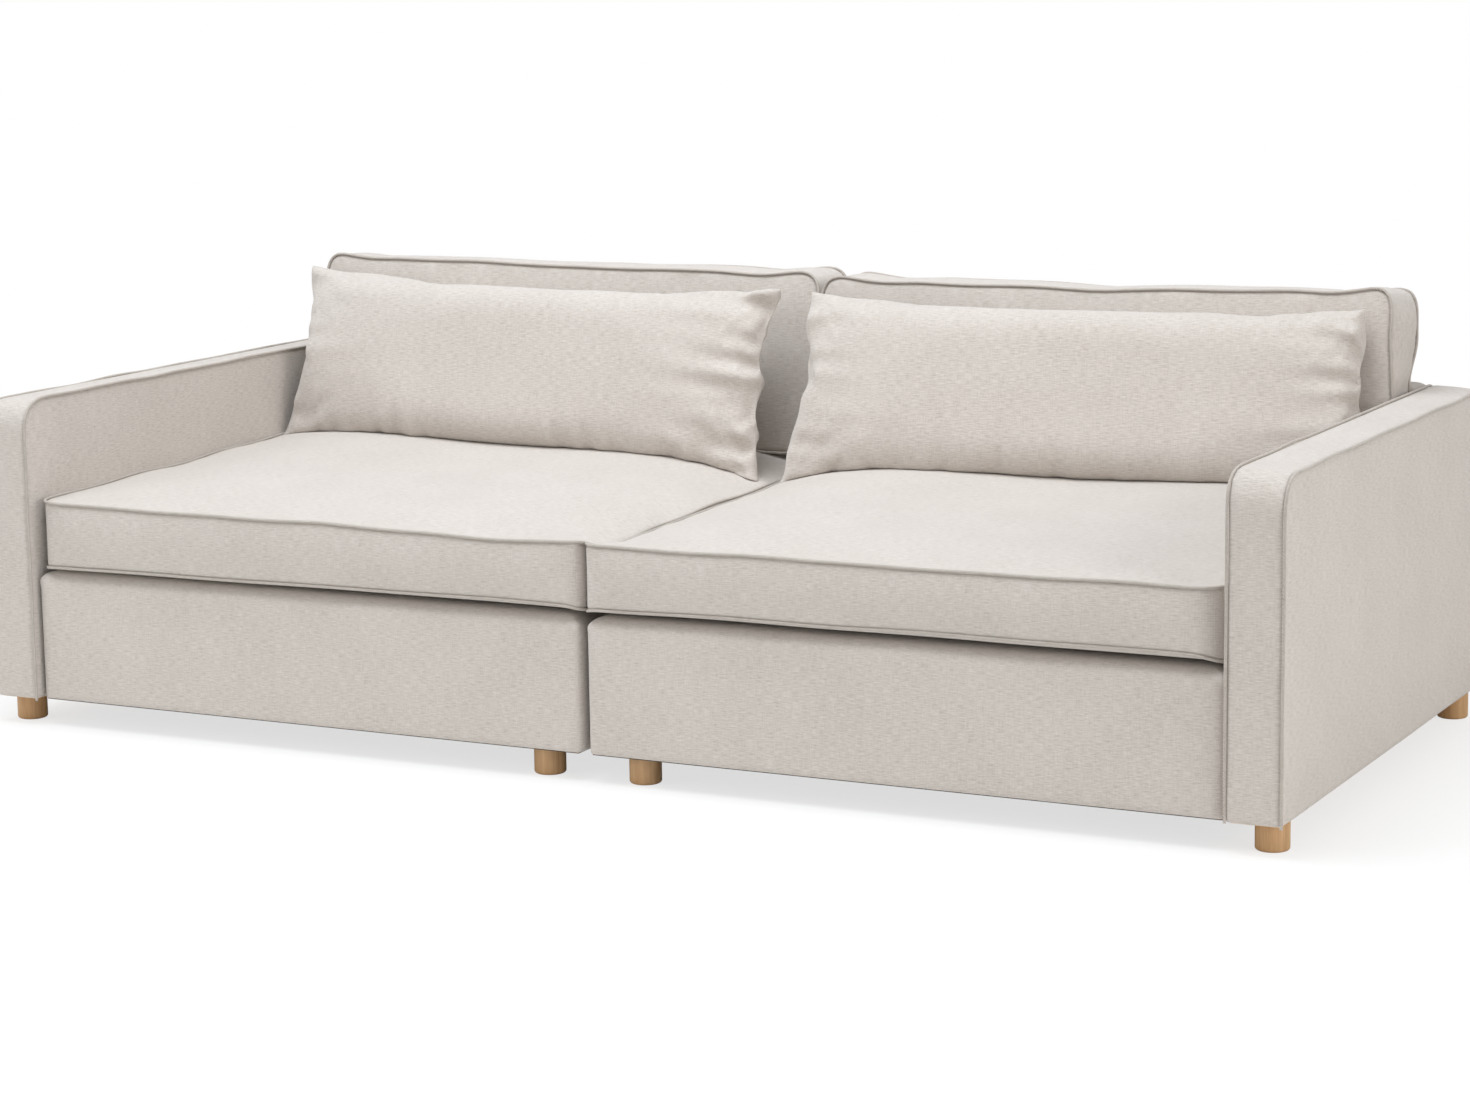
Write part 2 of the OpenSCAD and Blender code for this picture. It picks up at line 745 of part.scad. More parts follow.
// Cushion whose foot stands before the backrest and whose head bulges over it, pulled in by a
// margin for its front and rear faces and by another all round them
module back_cushion_block(face_in, edge_in) {
    low = bc_z + edge_in - face_in;
    high = bc_top - edge_in + face_in;
    slope = tan(bc_tilt);
    intersection() {
        along_x(bc_x, bc_w) offset(delta = -face_in) polygon([
            [bc_front + (low - bc_z) * slope, low],
            [bc_rear, low],
            [bc_rear, bulge_z],
            [bulge_y, bulge_top],
            [bulge_y, high],
            [bc_front + (high - bc_z) * slope, high]
        ]);
        translate([bc_x + edge_in, bulge_y + cut, bc_z + edge_in]) rotate([90, 0, 0])
            linear_extrude(bulge_y - bc_front + 2 * cut)
                soft_rectangle(
                    bc_w - 2 * edge_in, back_cushion_h - 2 * edge_in, max(back_cushion_r - edge_in, 2)
                );
    }
}

// Cords round the front and the rear face; the rear one steps back over the backrest
module back_piping() {
    w = bc_w - 2 * piping_in;
    bend = back_cushion_r - piping_in;
    z = bc_z + piping_in;
    low_y = bc_rear - piping_in;
    high_y = bulge_y - piping_in;
    step = [high_y - low_y, bulge_top - bulge_z];
    color(piping_tone) translate([bc_x + piping_in, 0, 0]) {
        translate([0, bc_front + piping_in, z]) rotate([90 - bc_tilt, 0, 0])
            cord_loop(w, (back_cushion_h - 2 * piping_in) / cos(bc_tilt), bend);
        translate([0, high_y, bulge_top]) cord_arch(w, bc_top - piping_in - bulge_top, bend, bend);
        translate([0, low_y, bulge_z]) mirror([0, 0, 1]) cord_arch(w, bulge_z - z, bend, bend);
        for (x = [0, w]) translate([x, low_y, bulge_z]) {
            rotate([-atan(step.x / step.y), 0, 0]) cylinder(r = piping_r, h = norm(step));
            sphere(piping_r + knuckle);
            translate([0, step.x, step.y]) sphere(piping_r + knuckle);
        }
    }
}

module back_cushion_cover() {
    color(cloth_tone) difference() {
        union() {
            back_cushion_block(notch, 0);
            back_cushion_block(0, notch);
        }
        back_cushion_block(cover_t, cover_t);
    }
}

module back_cushion_fill() {
    color(foam_tone) back_cushion_block(cover_t + fit, cover_t + fit);
}

// ---------- lumbar pillow ----------

// Lens between two arcs, in [y, z], with its foot at z = 0
module lens(inset) {
    translate([0, lumbar_h / 2]) intersection() {
        translate([lens_off, 0]) circle(lens_r - inset, $fn = 180);
        translate([-lens_off, 0]) circle(lens_r - inset, $fn = 180);
    }
}

// Stands a shape as the pillow stands: tilted back, and turned about its outer end
module lumbar_place() {
    translate([lumbar_x, lumbar_y, lumbar_z]) rotate([0, 0, lumbar_turn])
        rotate([-lumbar_tilt, 0, 0]) children();
}

module lumbar_solid(inset) {
    along_x(inset - lumbar_w, lumbar_w - 2 * inset) lens(inset);
}

module lumbar_cover() {
    color(cloth_tone) lumbar_place() difference() {
        lumbar_solid(0);
        lumbar_solid(cover_t);
    }
}

module lumbar_fill() {
    color(foam_tone) lumbar_place() lumbar_solid(cover_t + fit);
}

// ---------- nodes ----------

for (side = SIDES) {
    on_side(side) seat_frame();
    on_side(side) webbing();
    on_side(side) deck_foam();
    on_side(side) base_cover();
    on_side(side) dust_cover();
    on_side(side) arm_frame();
    on_side(side) arm_pad();
    on_side(side) arm_piping();
    on_side(side) back_frame();
    on_side(side) back_pad();
    on_side(side) seat_cushion_cover();
    on_side(side) seat_cushion_foam();
    on_side(side) seat_piping();
    on_side(side) on_rear_face(seat_back, seat_zip_z) zip_run(seat_zip_len);
    on_side(side) on_rear_face(seat_back, seat_zip_z) zip_slider(seat_zip_len);
    on_side(side) back_cushion_cover();
    on_side(side) back_cushion_fill();
    on_side(side) back_piping();
    on_side(side) on_rear_face(bc_rear, back_zip_z) zip_run(seat_zip_len);
    on_side(side) on_rear_face(bc_rear, back_zip_z) zip_slider(seat_zip_len);
    on_side(side) lumbar_cover();
    on_side(side) lumbar_fill();
    on_side(side) on_lumbar_rear() zip_run(lumbar_zip_len);
    on_side(side) on_lumbar_rear() zip_slider(lumbar_zip_len);
    on_side(side) leg(0, 0);
    on_side(side) leg(1, 0);
    on_side(side) leg(0, 1);
    on_side(side) leg(1, 1);
    on_side(side) fasteners();
    on_side(side) connector(side);
}
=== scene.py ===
import math
import bpy
import numpy as np
from mathutils import Matrix, Vector
from mathutils.bvhtree import BVHTree


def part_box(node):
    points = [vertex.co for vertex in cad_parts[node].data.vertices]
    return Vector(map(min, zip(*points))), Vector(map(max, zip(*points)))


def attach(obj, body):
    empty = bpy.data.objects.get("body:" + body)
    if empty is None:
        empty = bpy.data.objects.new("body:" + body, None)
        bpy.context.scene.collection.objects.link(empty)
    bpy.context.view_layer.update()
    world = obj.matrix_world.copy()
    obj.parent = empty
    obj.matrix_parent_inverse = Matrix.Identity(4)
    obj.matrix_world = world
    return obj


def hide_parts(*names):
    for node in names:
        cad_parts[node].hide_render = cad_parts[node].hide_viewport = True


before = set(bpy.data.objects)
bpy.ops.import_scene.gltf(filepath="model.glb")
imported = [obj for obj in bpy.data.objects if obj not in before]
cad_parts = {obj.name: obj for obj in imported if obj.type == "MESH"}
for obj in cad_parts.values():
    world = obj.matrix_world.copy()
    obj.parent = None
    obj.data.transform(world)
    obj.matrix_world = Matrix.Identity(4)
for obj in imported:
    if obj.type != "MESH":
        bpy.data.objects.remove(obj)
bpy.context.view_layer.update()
sides = ("left", "right")
print("frame loaded")


# camera: a long lens, a little above the arms, round to the right of the sofa
camera = {"place": (2.9776, -5.8290, 1.4655), "turn": 26.96, "down": 9.94, "roll": -0.84,
          "lens": 86.76, "film": 36, "farthest": 60}


def addCamera():
    data = bpy.data.cameras.new("camera")
    data.lens = camera["lens"]
    data.sensor_width = camera["film"]
    data.clip_end = camera["farthest"]
    turn, down, roll = (math.radians(camera[k]) for k in ("turn", "down", "roll"))
    ahead = Vector((-math.sin(turn) * math.cos(down), math.cos(turn) * math.cos(down), -math.sin(down)))
    across = Vector((math.cos(turn), math.sin(turn), 0))
    up = across.cross(ahead)
    right = math.cos(roll) * across + math.sin(roll) * up
    top = -math.sin(roll) * across + math.cos(roll) * up
    obj = bpy.data.objects.new("camera", data)
    bpy.context.scene.collection.objects.link(obj)
    turned = Matrix((right, top, -ahead)).transposed().to_4x4()
    obj.matrix_world = Matrix.Translation(camera["place"]) @ turned
    bpy.context.scene.camera = obj


addCamera()


def toLinear(code):
    parts = [int(code[k:k + 2], 16) / 255 for k in (1, 3, 5)]
    return [v / 12.92 if v <= 0.04045 else ((v + 0.055) / 1.055) ** 2.4 for v in parts] + [1]


def addNode(tree, kind, settings=None, links=None):
    # settings go to the node's own fields or, by name or number, to its inputs
    node = tree.nodes.new(kind)
    for key, value in (settings or {}).items():
        if isinstance(key, str) and hasattr(node, key):
            setattr(node, key, value)
        else:
            node.inputs[key].default_value = value
    for key, source in (links or {}).items():
        tree.links.new(source, node.inputs[key])
    return node


def newMaterial(name, shader):
    mat = bpy.data.materials.new(name)
    mat.use_nodes = True
    tree = mat.node_tree
    tree.nodes.clear()
    bsdf = addNode(tree, "ShaderNodeBsdfPrincipled", shader)
    addNode(tree, "ShaderNodeOutputMaterial", None, {"Surface": bsdf.outputs[0]})
    return mat, tree, bsdf


def ramp(tree, source, stops):
    node = addNode(tree, "ShaderNodeValToRGB", None, {"Fac": source})
    while len(node.color_ramp.elements) < len(stops):
        node.color_ramp.elements.new(0.5)
    for element, (place, code) in zip(node.color_ramp.elements, stops):
        element.position = place
        element.color = toLinear(code)
    return node.outputs["Color"]


def addNoise(tree, place, scale, detail, roughness):
    settings = {"Scale": scale, "Detail": detail, "Roughness": roughness}
    return addNode(tree, "ShaderNodeTexNoise", settings, {"Vector": place}).outputs["Fac"]


def addBump(tree, bsdf, height, strength, depthMm):
    settings = {"Strength": strength, "Distance": depthMm / 1000}
    bump = addNode(tree, "ShaderNodeBump", settings, {"Height": height})
    tree.links.new(bump.outputs[0], bsdf.inputs["Normal"])


waveRepeat = math.pi / 10  # the repeat of a wave texture of scale 1, in metres


clothLook = {
    "stops": [(0.31, "#a69c92"), (0.48, "#c8c0b8"), (0.66, "#dbd4cd")],
    "threadMm": 2.2,        # a real thread is 0.8 mm, drawn coarser so that it shows
    "slubMm": (17, 1.6),    # length and height of a thick place in a thread of the weft
    "warpSlub": (1.1, 0.7),  # how much closer such places are in the warp, across and along it
    "heatherMm": 3, "cloudMm": 166.7,
    # how much of each pattern the colour takes up, and the warp and weave in the relief
    "inColour": {"warp": 0.28, "heather": 0.2, "weave": 0.12, "cloud": 0.07},
    "inRelief": {"warp": 0.35, "weave": 0.4}, "relief": (0.55, 1.2),
}


def linenCloth(name, look):
    # linen-look polyester weave: matt, heathered, with fine slubs that run along the weft
    mat, tree, bsdf = newMaterial(name, {
        "Roughness": 0.92, "Specular IOR Level": 0.18, "Sheen Weight": 0.25, "Sheen Roughness": 0.6,
    })
    place = addNode(tree, "ShaderNodeUVMap", {"uv_map": "weave"}).outputs[0]
    long, high = (1000 / v for v in look["slubMm"])
    weft = addNode(tree, "ShaderNodeMapping", {"Scale": (long, high, 1)}, {"Vector": place})
    thick, spread = look["warpSlub"]
    across = (high * thick, long * spread, 1)
    warp = addNode(tree, "ShaderNodeMapping", {"Scale": across}, {"Vector": place})
    slub = addNoise(tree, weft.outputs[0], 1, 3, 0.6)
    stripe = addNoise(tree, warp.outputs[0], 1, 3, 0.6)
    heather = addNoise(tree, place, 1000 / look["heatherMm"], 4, 0.7)
    cloud = addNoise(tree, place, 1000 / look["cloudMm"], 2, 0.5)
    threads = 1000 / look["threadMm"] * waveRepeat
    waves = [
        addNode(tree, "ShaderNodeTexWave", {
            "wave_type": "BANDS", "bands_direction": way, "wave_profile": "SIN",
            "Scale": threads, "Distortion": 1.2, "Detail": 2, "Detail Scale": 2,
        }, {"Vector": place})
        for way in ("X", "Y")]
    weave = addNode(tree, "ShaderNodeMath", {"operation": "MULTIPLY"},
                    {0: waves[0].outputs["Fac"], 1: waves[1].outputs["Fac"]})

    def blend(a, b, share):
        return addNode(tree, "ShaderNodeMix", {"data_type": "FLOAT", 0: share}, {2: a, 3: b}).outputs[0]

    share = look["inColour"]
    tone = blend(blend(slub, stripe, share["warp"]), heather, share["heather"])
    tone = blend(blend(tone, weave.outputs[0], share["weave"]), cloud, share["cloud"])
    tree.links.new(ramp(tree, tone, look["stops"]), bsdf.inputs["Base Color"])
    share = look["inRelief"]
    height = blend(blend(slub, stripe, share["warp"]), weave.outputs[0], share["weave"])
    addBump(tree, bsdf, height, *look["relief"])
    return mat


pipingLookPaintedShade = {
    # the stops are darker than the cloth's own colour: painted shade for the crease between the cord
    # and the panel
    "stops": [(0.3, "#958c82"), (0.5, "#b3aba2"), (0.7, "#c6bfb7")],
    "twillMm": 2.618, "heatherMm": 4.545, "heatherShare": 0.65, "relief": (0.5, 0.6),
}


def pipingClothPaintedShade(look):
    # the same cloth cut on the bias round a cord, so its threads run slantwise; its colour is the
    # cloth's darkened, as painted shade for the crease along the cord
    mat, tree, bsdf = newMaterial("biasPipingPaintedShade", {
        "Roughness": 0.9, "Specular IOR Level": 0.18, "Sheen Weight": 0.2, "Sheen Roughness": 0.6,
    })
    place = addNode(tree, "ShaderNodeTexCoord").outputs["Object"]
    twill = addNode(tree, "ShaderNodeTexWave", {
        "wave_type": "BANDS", "bands_direction": "DIAGONAL",
        "Scale": 1000 / look["twillMm"] * waveRepeat, "Distortion": 2, "Detail": 2,
    }, {"Vector": place})
    heather = addNoise(tree, place, 1000 / look["heatherMm"], 4, 0.7)
    tone = addNode(tree, "ShaderNodeMix", {"data_type": "FLOAT", 0: look["heatherShare"]},
                   {2: twill.outputs["Fac"], 3: heather}).outputs[0]
    tree.links.new(ramp(tree, tone, look["stops"]), bsdf.inputs["Base Color"])
    addBump(tree, bsdf, tone, *look["relief"])
    return mat


def grainedWood(name, stops, grainMm, rough, along="Z"):
    # straight-grained timber: long fine lines along the grain, broad growth bands across it
    mat, tree, bsdf = newMaterial(name, {"Roughness": rough, "Specular IOR Level": 0.35})
    place = addNode(tree, "ShaderNodeTexCoord").outputs["Object"]
    fine, band = 1000 / grainMm, 1000 / (grainMm * 7)  # a growth band is seven lines wide
    drawnOut = 0.04  # a line is 25 times as long as it is wide
    stretch = [drawnOut if axis == along else 1 for axis in "XYZ"]
    pores, growth = (addNode(tree, "ShaderNodeMapping", {"Scale": [scale * s for s in stretch]},
                             {"Vector": place}).outputs[0] for scale in (fine, band))
    lines = addNoise(tree, pores, 1, 5, 0.65)
    bands = addNoise(tree, growth, 1, 3, 0.5)
    tone = addNode(tree, "ShaderNodeMix", {"data_type": "FLOAT", 0: 0.55},
                   {2: lines, 3: bands}).outputs[0]
    tree.links.new(ramp(tree, tone, stops), bsdf.inputs["Base Color"])
    addBump(tree, bsdf, lines, 0.25, 0.4)
    return mat


def speckled(name, stops, grainMm, shader, bumpMm=0.3):
    # cellular, felted or cast surfaces: an even speckle with a matching bump
    mat, tree, bsdf = newMaterial(name, shader)
    place = addNode(tree, "ShaderNodeTexCoord").outputs["Object"]
    noise = addNoise(tree, place, 1000 / grainMm, 4, 0.6)
    tree.links.new(ramp(tree, noise, stops), bsdf.inputs["Base Color"])
    addBump(tree, bsdf, noise, 0.4, bumpMm)
    return mat


def ribbed(name, stops, ribMm, shader, way="Y"):
    # narrow woven tape and strapping: close ribs across their length
    mat, tree, bsdf = newMaterial(name, shader)
    place = addNode(tree, "ShaderNodeTexCoord").outputs["Object"]
    ribs = addNode(tree, "ShaderNodeTexWave", {
        "wave_type": "BANDS", "bands_direction": way,
        "Scale": 1000 / ribMm * waveRepeat, "Distortion": 0.6,
    }, {"Vector": place})
    tree.links.new(ramp(tree, ribs.outputs["Fac"], stops), bsdf.inputs["Base Color"])
    addBump(tree, bsdf, ribs.outputs["Fac"], 0.5, 0.5)
    return mat


cloth = linenCloth("linenWeave", clothLook)
piping = pipingClothPaintedShade(pipingLookPaintedShade)
oak = grainedWood("lacqueredOak", [(0.3, "#a67e56"), (0.5, "#bc966c"), (0.7, "#cfab81")], 1.6, 0.5)
softwood = grainedWood("planedPine", [(0.3, "#c39a62"), (0.5, "#dab986"), (0.7, "#e6cb9f")], 3, 0.75,
                       "X")
foam = speckled("upholsteryFoam", [(0.35, "#d9cfa4"), (0.6, "#efe8c8")], 3, {"Roughness": 0.95})
dustCloth = speckled("spunDustCloth", [(0.35, "#141416"), (0.6, "#26262a")], 2, {"Roughness": 0.9})
strapping = ribbed("elasticWebbing", [(0.3, "#2e2620"), (0.7, "#564a3e")], 4, {"Roughness": 0.85})
zipTape = ribbed("zipTape", [(0.3, "#9b9186"), (0.7, "#bdb4a9")], 2.5, {"Roughness": 0.7}, "X")
zinc = speckled("zincPlatedSteel", [(0.35, "#a9abae"), (0.65, "#c6c8cb")], 5,
                {"Metallic": 1, "Roughness": 0.38}, 0.05)
nodeFinish = {
    "seat_frame": softwood, "arm_frame": softwood, "back_frame": softwood, "webbing": strapping,
    "deck_foam": foam, "seat_cushion_foam": foam, "back_cushion_fill": foam, "lumbar_fill": foam,
    "dust_cover": dustCloth, "seat_zip": zipTape, "back_zip": zipTape, "lumbar_zip": zipTape,
    "seat_zip_slider": zinc, "back_zip_slider": zinc, "lumbar_zip_slider": zinc,
    "leg_front_outer": oak, "leg_front_inner": oak, "leg_rear_outer": oak, "leg_rear_inner": oak,
    "fasteners": zinc, "connector": zinc,
}
for side in sides:
    for part, finish in nodeFinish.items():
        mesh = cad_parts[f"{side}_{part}"].data
        mesh.materials.clear()
        mesh.materials.append(finish)
print("materials made")


def ripples(points, sizeMm, seed, waves=14):
    # a smooth random field from -1 to 1 with swells about sizeMm long
    rng = np.random.default_rng(seed)
    total = np.zeros(len(points))
    for _ in range(waves):
        way = rng.normal(size=3)
        way *= 2 * math.pi * 1000 / (sizeMm * rng.uniform(0.7, 1.5)) / np.linalg.norm(way)
        total += np.sin(points @ way + rng.uniform(0, 2 * math.pi))
    return total / (waves ** 0.5 * 1.6)  # the sum seldom passes this


def boxGrid(counts):
    # the surface of a box as a lattice of quads; panels: 0 top, 1 bottom, 2 front, 3 rear, 4 and 5 ends
    nx, ny, nz = counts
    index, points, faces, panels = {}, [], [], []

    def quad(panel, *corners):
        for corner in corners:
            if corner not in index:
                index[corner] = len(points)
                points.append(corner)
        faces.append([index[c] for c in corners])
        panels.append(panel)

    for i in range(nx):
        for j in range(ny):
            quad(0, (i, j, nz), (i + 1, j, nz), (i + 1, j + 1, nz), (i, j + 1, nz))
            quad(1, (i, j, 0), (i, j + 1, 0), (i + 1, j + 1, 0), (i + 1, j, 0))
        for k in range(nz):
            quad(2, (i, 0, k), (i + 1, 0, k), (i + 1, 0, k + 1), (i, 0, k + 1))
            quad(3, (i, ny, k), (i, ny, k + 1), (i + 1, ny, k + 1), (i + 1, ny, k))
    for j in range(ny):
        for k in range(nz):
            quad(4, (0, j, k), (0, j, k + 1), (0, j + 1, k + 1), (0, j + 1, k))
            quad(5, (nx, j, k), (nx, j + 1, k), (nx, j + 1, k + 1), (nx, j, k + 1))
    return np.array(points), np.array(faces), np.array(panels)


def ringOf(lattice, counts, k):
    # the lattice points round the rim at height k, in order
    nx, ny, _ = counts
    rim = [(i, 0) for i in range(nx)] + [(nx, j) for j in range(ny)]
    rim += [(i, ny) for i in range(nx, 0, -1)] + [(0, j) for j in range(ny, 0, -1)]
    index = {tuple(p): n for n, p in enumerate(lattice.tolist())}
    return [index[(i, j, k)] for i, j in rim]


def roundCorners(a, b, sizeA, sizeB, radius):
    # moves points of a rectangle (0..sizeA, 0..sizeB) so that its corners are round
    # radius holds one value for each corner: low-low, high-low, high-high, low-high
    a, b = a.copy(), b.copy()
    for (highA, highB), r in zip(((0, 0), (1, 0), (1, 1), (0, 1)), radius):
        if r <= 0:
            continue
        u = a - (sizeA - r) if highA else r - a
        v = b - (sizeB - r) if highB else r - b
        inside = (u > 0) & (v > 0)
        reach = np.hypot(u, v)
        scale = np.where(inside, np.maximum(u, v) / np.maximum(reach, 1e-9), 1)
        a = np.where(inside, (sizeA - r) + u * scale if highA else r - u * scale, a)
        b = np.where(inside, (sizeB - r) + v * scale if highB else r - v * scale, b)
    return a, b


def clothMesh(name, points, flat, faces, panels, ends=((0, 2), (1, 2))):
    # flat is each point's place before it was shaped: the weave's UV map comes from it, in metres
    mesh = bpy.data.meshes.new(name)
    mesh.from_pydata(points.tolist(), [], faces.tolist())
    axes = {0: (0, 1), 1: (0, 1), 2: ends[0], 3: ends[0], 4: ends[1], 5: ends[1]}
    pick = np.array([axes[p] for p in panels])
    corners = flat[faces]
    u = np.take_along_axis(corners, pick[:, None, :1].repeat(4, 1), 2)[..., 0]
    v = np.take_along_axis(corners, pick[:, None, 1:].repeat(4, 1), 2)[..., 0]
    shift = panels[:, None] * 0.37
    layer = mesh.uv_layers.new(name="weave")
    layer.data.foreach_set("uv", np.stack([u + shift, v + shift], -1).astype(np.float32).ravel())
    mesh.materials.append(cloth)
    mesh.shade_smooth()
    obj = bpy.data.objects.new(name, mesh)
    bpy.context.scene.collection.objects.link(obj)
    return obj


def readPoints(obj):
    co = np.empty(len(obj.data.vertices) * 3)
    obj.data.vertices.foreach_get("co", co)
    return co.reshape(-1, 3)


def writePoints(obj, points):
    obj.data.vertices.foreach_set("co", points.ravel())
    obj.data.update()


def inflate(obj, frames, pressure, pinned=None, stiffness=15, bending=0.6, enough=None):
    # lets the closed cloth swell until it is full enough and returns where its points went
    if pinned is not None:
        group = obj.vertex_groups.new(name="pinned")
        for weight in np.unique(pinned[pinned > 0]):
            group.add(np.flatnonzero(pinned == weight).tolist(), float(weight), "REPLACE")
    mod = obj.modifiers.new("cloth", "CLOTH")
    cloth = mod.settings
    cloth.quality = 5
    cloth.mass = 0.3
    cloth.use_pressure = True
    cloth.uniform_pressure_force = pressure
    cloth.tension_stiffness = stiffness
    cloth.compression_stiffness = stiffness
    cloth.shear_stiffness = stiffness / 3
    cloth.bending_stiffness = bending
    cloth.effector_weights.gravity = 0
    if pinned is not None:
        cloth.vertex_group_mass = "pinned"
    mod.collision_settings.use_collision = False
    scene = bpy.context.scene
    scene.frame_start, scene.frame_end = 1, frames
    mod.point_cache.frame_start, mod.point_cache.frame_end = 1, frames
    for number in range(1, frames + 1):
        scene.frame_set(number)
        co = readPoints(obj.evaluated_get(bpy.context.evaluated_depsgraph_get()))
        if enough and enough(co):
            break
    obj.modifiers.remove(mod)
    if pinned is not None:
        obj.vertex_groups.remove(obj.vertex_groups["pinned"])
    scene.frame_set(1)
    return co


def keepSide(points, side, gap):
    # keeps a module's points on their own side of the line where the two modules meet
    sign = 1 if side == "right" else -1
    points[:, 0] = np.maximum(points[:, 0] * sign, gap) * sign
    return points


def gathers(along, depth, folds, seed):
    # small folds that run in from a seam; along and depth are distances along and from it,
    # and folds holds their spacing in mm, how deep they are and how far in they reach
    sizeMm, amount, reach = folds
    line = np.stack([along, depth * 0.2, 0 * along], -1)
    stitched = 0.01  # how far from the seam the stitches still hold the cloth flat
    fade = np.exp(-depth / reach) * (1 - np.exp(-depth / stitched))
    return ripples(line, sizeMm, seed) * amount * fade


def surfaceOf(obj):
    mesh = obj.data
    return BVHTree.FromPolygons([v.co for v in mesh.vertices], [p.vertices for p in mesh.polygons])


def restOn(points, tree, way, gap=0.0008, deepest=0.08):
    # moves points that sank into another piece back out of it; way is the axis and its sign
    axis, sign = way
    ahead = Vector([-sign if k == axis else 0 for k in range(3)])
    away = 2  # the rays start this far outside, in metres
    for p in points:
        start = Vector(p)
        start[axis] += sign * away
        hit = tree.ray_cast(start, ahead)[0]
        if hit and -deepest < (p[axis] - hit[axis]) * sign < gap:
            p[axis] = hit[axis] + sign * gap
    return points


def subdivide(obj, levels=1):
    mod = obj.modifiers.new("smooth", "SUBSURF")
    mod.levels = mod.render_levels = levels


def sweepTree():
    # sweeps a round cord along a wire; its inputs are the cord's radius and the step along it
    tree = bpy.data.node_groups.new("sweptCord", "GeometryNodeTree")
    tree.interface.new_socket("Wire", in_out="INPUT", socket_type="NodeSocketGeometry")
    for label, value in (("Cord radius", 0.0025), ("Step", 0.006)):
        socket = tree.interface.new_socket(label, in_out="INPUT", socket_type="NodeSocketFloat")
        socket.default_value = value
    tree.interface.new_socket("Material", in_out="INPUT", socket_type="NodeSocketMaterial")
    tree.interface.new_socket("Cord", in_out="OUTPUT", socket_type="NodeSocketGeometry")
    start = addNode(tree, "NodeGroupInput")
    path = addNode(tree, "GeometryNodeMeshToCurve", None, {0: start.outputs["Wire"]})
    even = addNode(tree, "GeometryNodeResampleCurve", {"mode": "LENGTH"},
                   {"Curve": path.outputs[0], "Length": start.outputs["Step"]})
    ring = addNode(tree, "GeometryNodeCurvePrimitiveCircle", {"mode": "RADIUS", "Resolution": 10},
                   {"Radius": start.outputs["Cord radius"]})
    cord = addNode(tree, "GeometryNodeCurveToMesh", {"Fill Caps": True},
                   {"Curve": even.outputs[0], "Profile Curve": ring.outputs[0]})
    soft = addNode(tree, "GeometryNodeSetShadeSmooth", None, {0: cord.outputs[0]})
    real = addNode(tree, "GeometryNodeRealizeInstances", None, {0: soft.outputs[0]})
    coat = addNode(tree, "GeometryNodeSetMaterial", None,
                   {"Geometry": real.outputs[0], "Material": start.outputs["Material"]})
    addNode(tree, "NodeGroupOutput", None, {0: coat.outputs[0]})
    return tree


cordTree = sweepTree()


def sewCords(name, wires, radius):
    # wires: a list of (points, closed)
    points, edges = [], []
    for path, closed in wires:
        first = len(points)
        points += [tuple(p) for p in path]
        edges += [(n, n + 1) for n in range(first, len(points) - 1)]
        if closed:
            edges.append((len(points) - 1, first))
    wire = bpy.data.meshes.new(name)
    wire.from_pydata(points, edges, [])
    obj = bpy.data.objects.new(name, wire)
    bpy.context.scene.collection.objects.link(obj)
    mod = obj.modifiers.new("cord", "NODES")
    mod.node_group = cordTree
    keys = {s.name: s.identifier for s in cordTree.interface.items_tree if s.in_out == "INPUT"}
    mod[keys["Cord radius"]] = radius
    mod[keys["Material"]] = piping
    baked = bpy.data.meshes.new_from_object(obj.evaluated_get(bpy.context.evaluated_depsgraph_get()))
    obj.modifiers.remove(mod)
    obj.data = baked
    bpy.data.meshes.remove(wire)
    return obj


def smoothPath(path, closed, rounds=2):
    path = path.copy()
    for _ in range(rounds):
        mean = (np.roll(path, 1, 0) + np.roll(path, -1, 0)) / 2
        if not closed:
            mean[0], mean[-1] = path[0], path[-1]
        path = (path + mean) / 2
    return path


def outward(obj, ring, gap):
    # the ring's points, moved out along the surface normals there
    normals = np.array([obj.data.vertices[n].normal for n in ring])
    return readPoints(obj)[ring] + normals * gap


moduleGap = 0.001    # how far a cover stays from the line between the modules
pipingGap = 0.0034   # the same for the middle of a cord
pipingStands = 0.0012  # how far a cord's middle stands out of its seam


def seamPaths(piece, rings, side):
    paths = [smoothPath(outward(piece, ring, pipingStands), True) for ring in rings]
    return [(keepSide(path, side, pipingGap), True) for path in paths]


def finishPiece(piece, body, nodes):
    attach(piece, body)
    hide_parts(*nodes)


def falloff(distance, reach):
    return np.exp(-np.maximum(distance, 0) / reach)


seatCushion = {
    "cell": 0.0125, "layers": 9, "corner": 0.030, "outerCorner": 0.055, "frontHeight": 0.124,
    "crown": 0.022, "frontPuff": 0.008, "sidePuff": 0.0015, "fill": 0.9,
    "frames": 16, "pressure": 5, "cord": 0.0027,
    # the top seam wanders, rises at the outer front corner and sinks into the crease in the middle
    "seamWave": 0.0035, "waveMm": 260, "waveReach": 0.15, "outerRise": 0.005, "riseReach": 0.25,
    "innerSink": 0.026, "sinkReach": 0.035, "sinkStart": 0.012, "sinkRun": 0.10,
    # how far the front bottom edge stands off the base at its two ends, left to right,
    # and how that fades: the near share just behind the front seam, the far one farther back
    "footLift": {"left": (0.006, 0.015), "right": (0.012, 0.019)},
    "footWave": 0.0015, "footReach": (0.012, 0.15), "footShare": (0.7, 0.3),
    "frontBow": 0.003, "bowReach": 0.05,
    # folds: spacing in mm, depth, and how far they reach in from the seam
    "frontFolds": (55, 0.0018, 0.05), "topFolds": (70, 0.0022, 0.06),
}


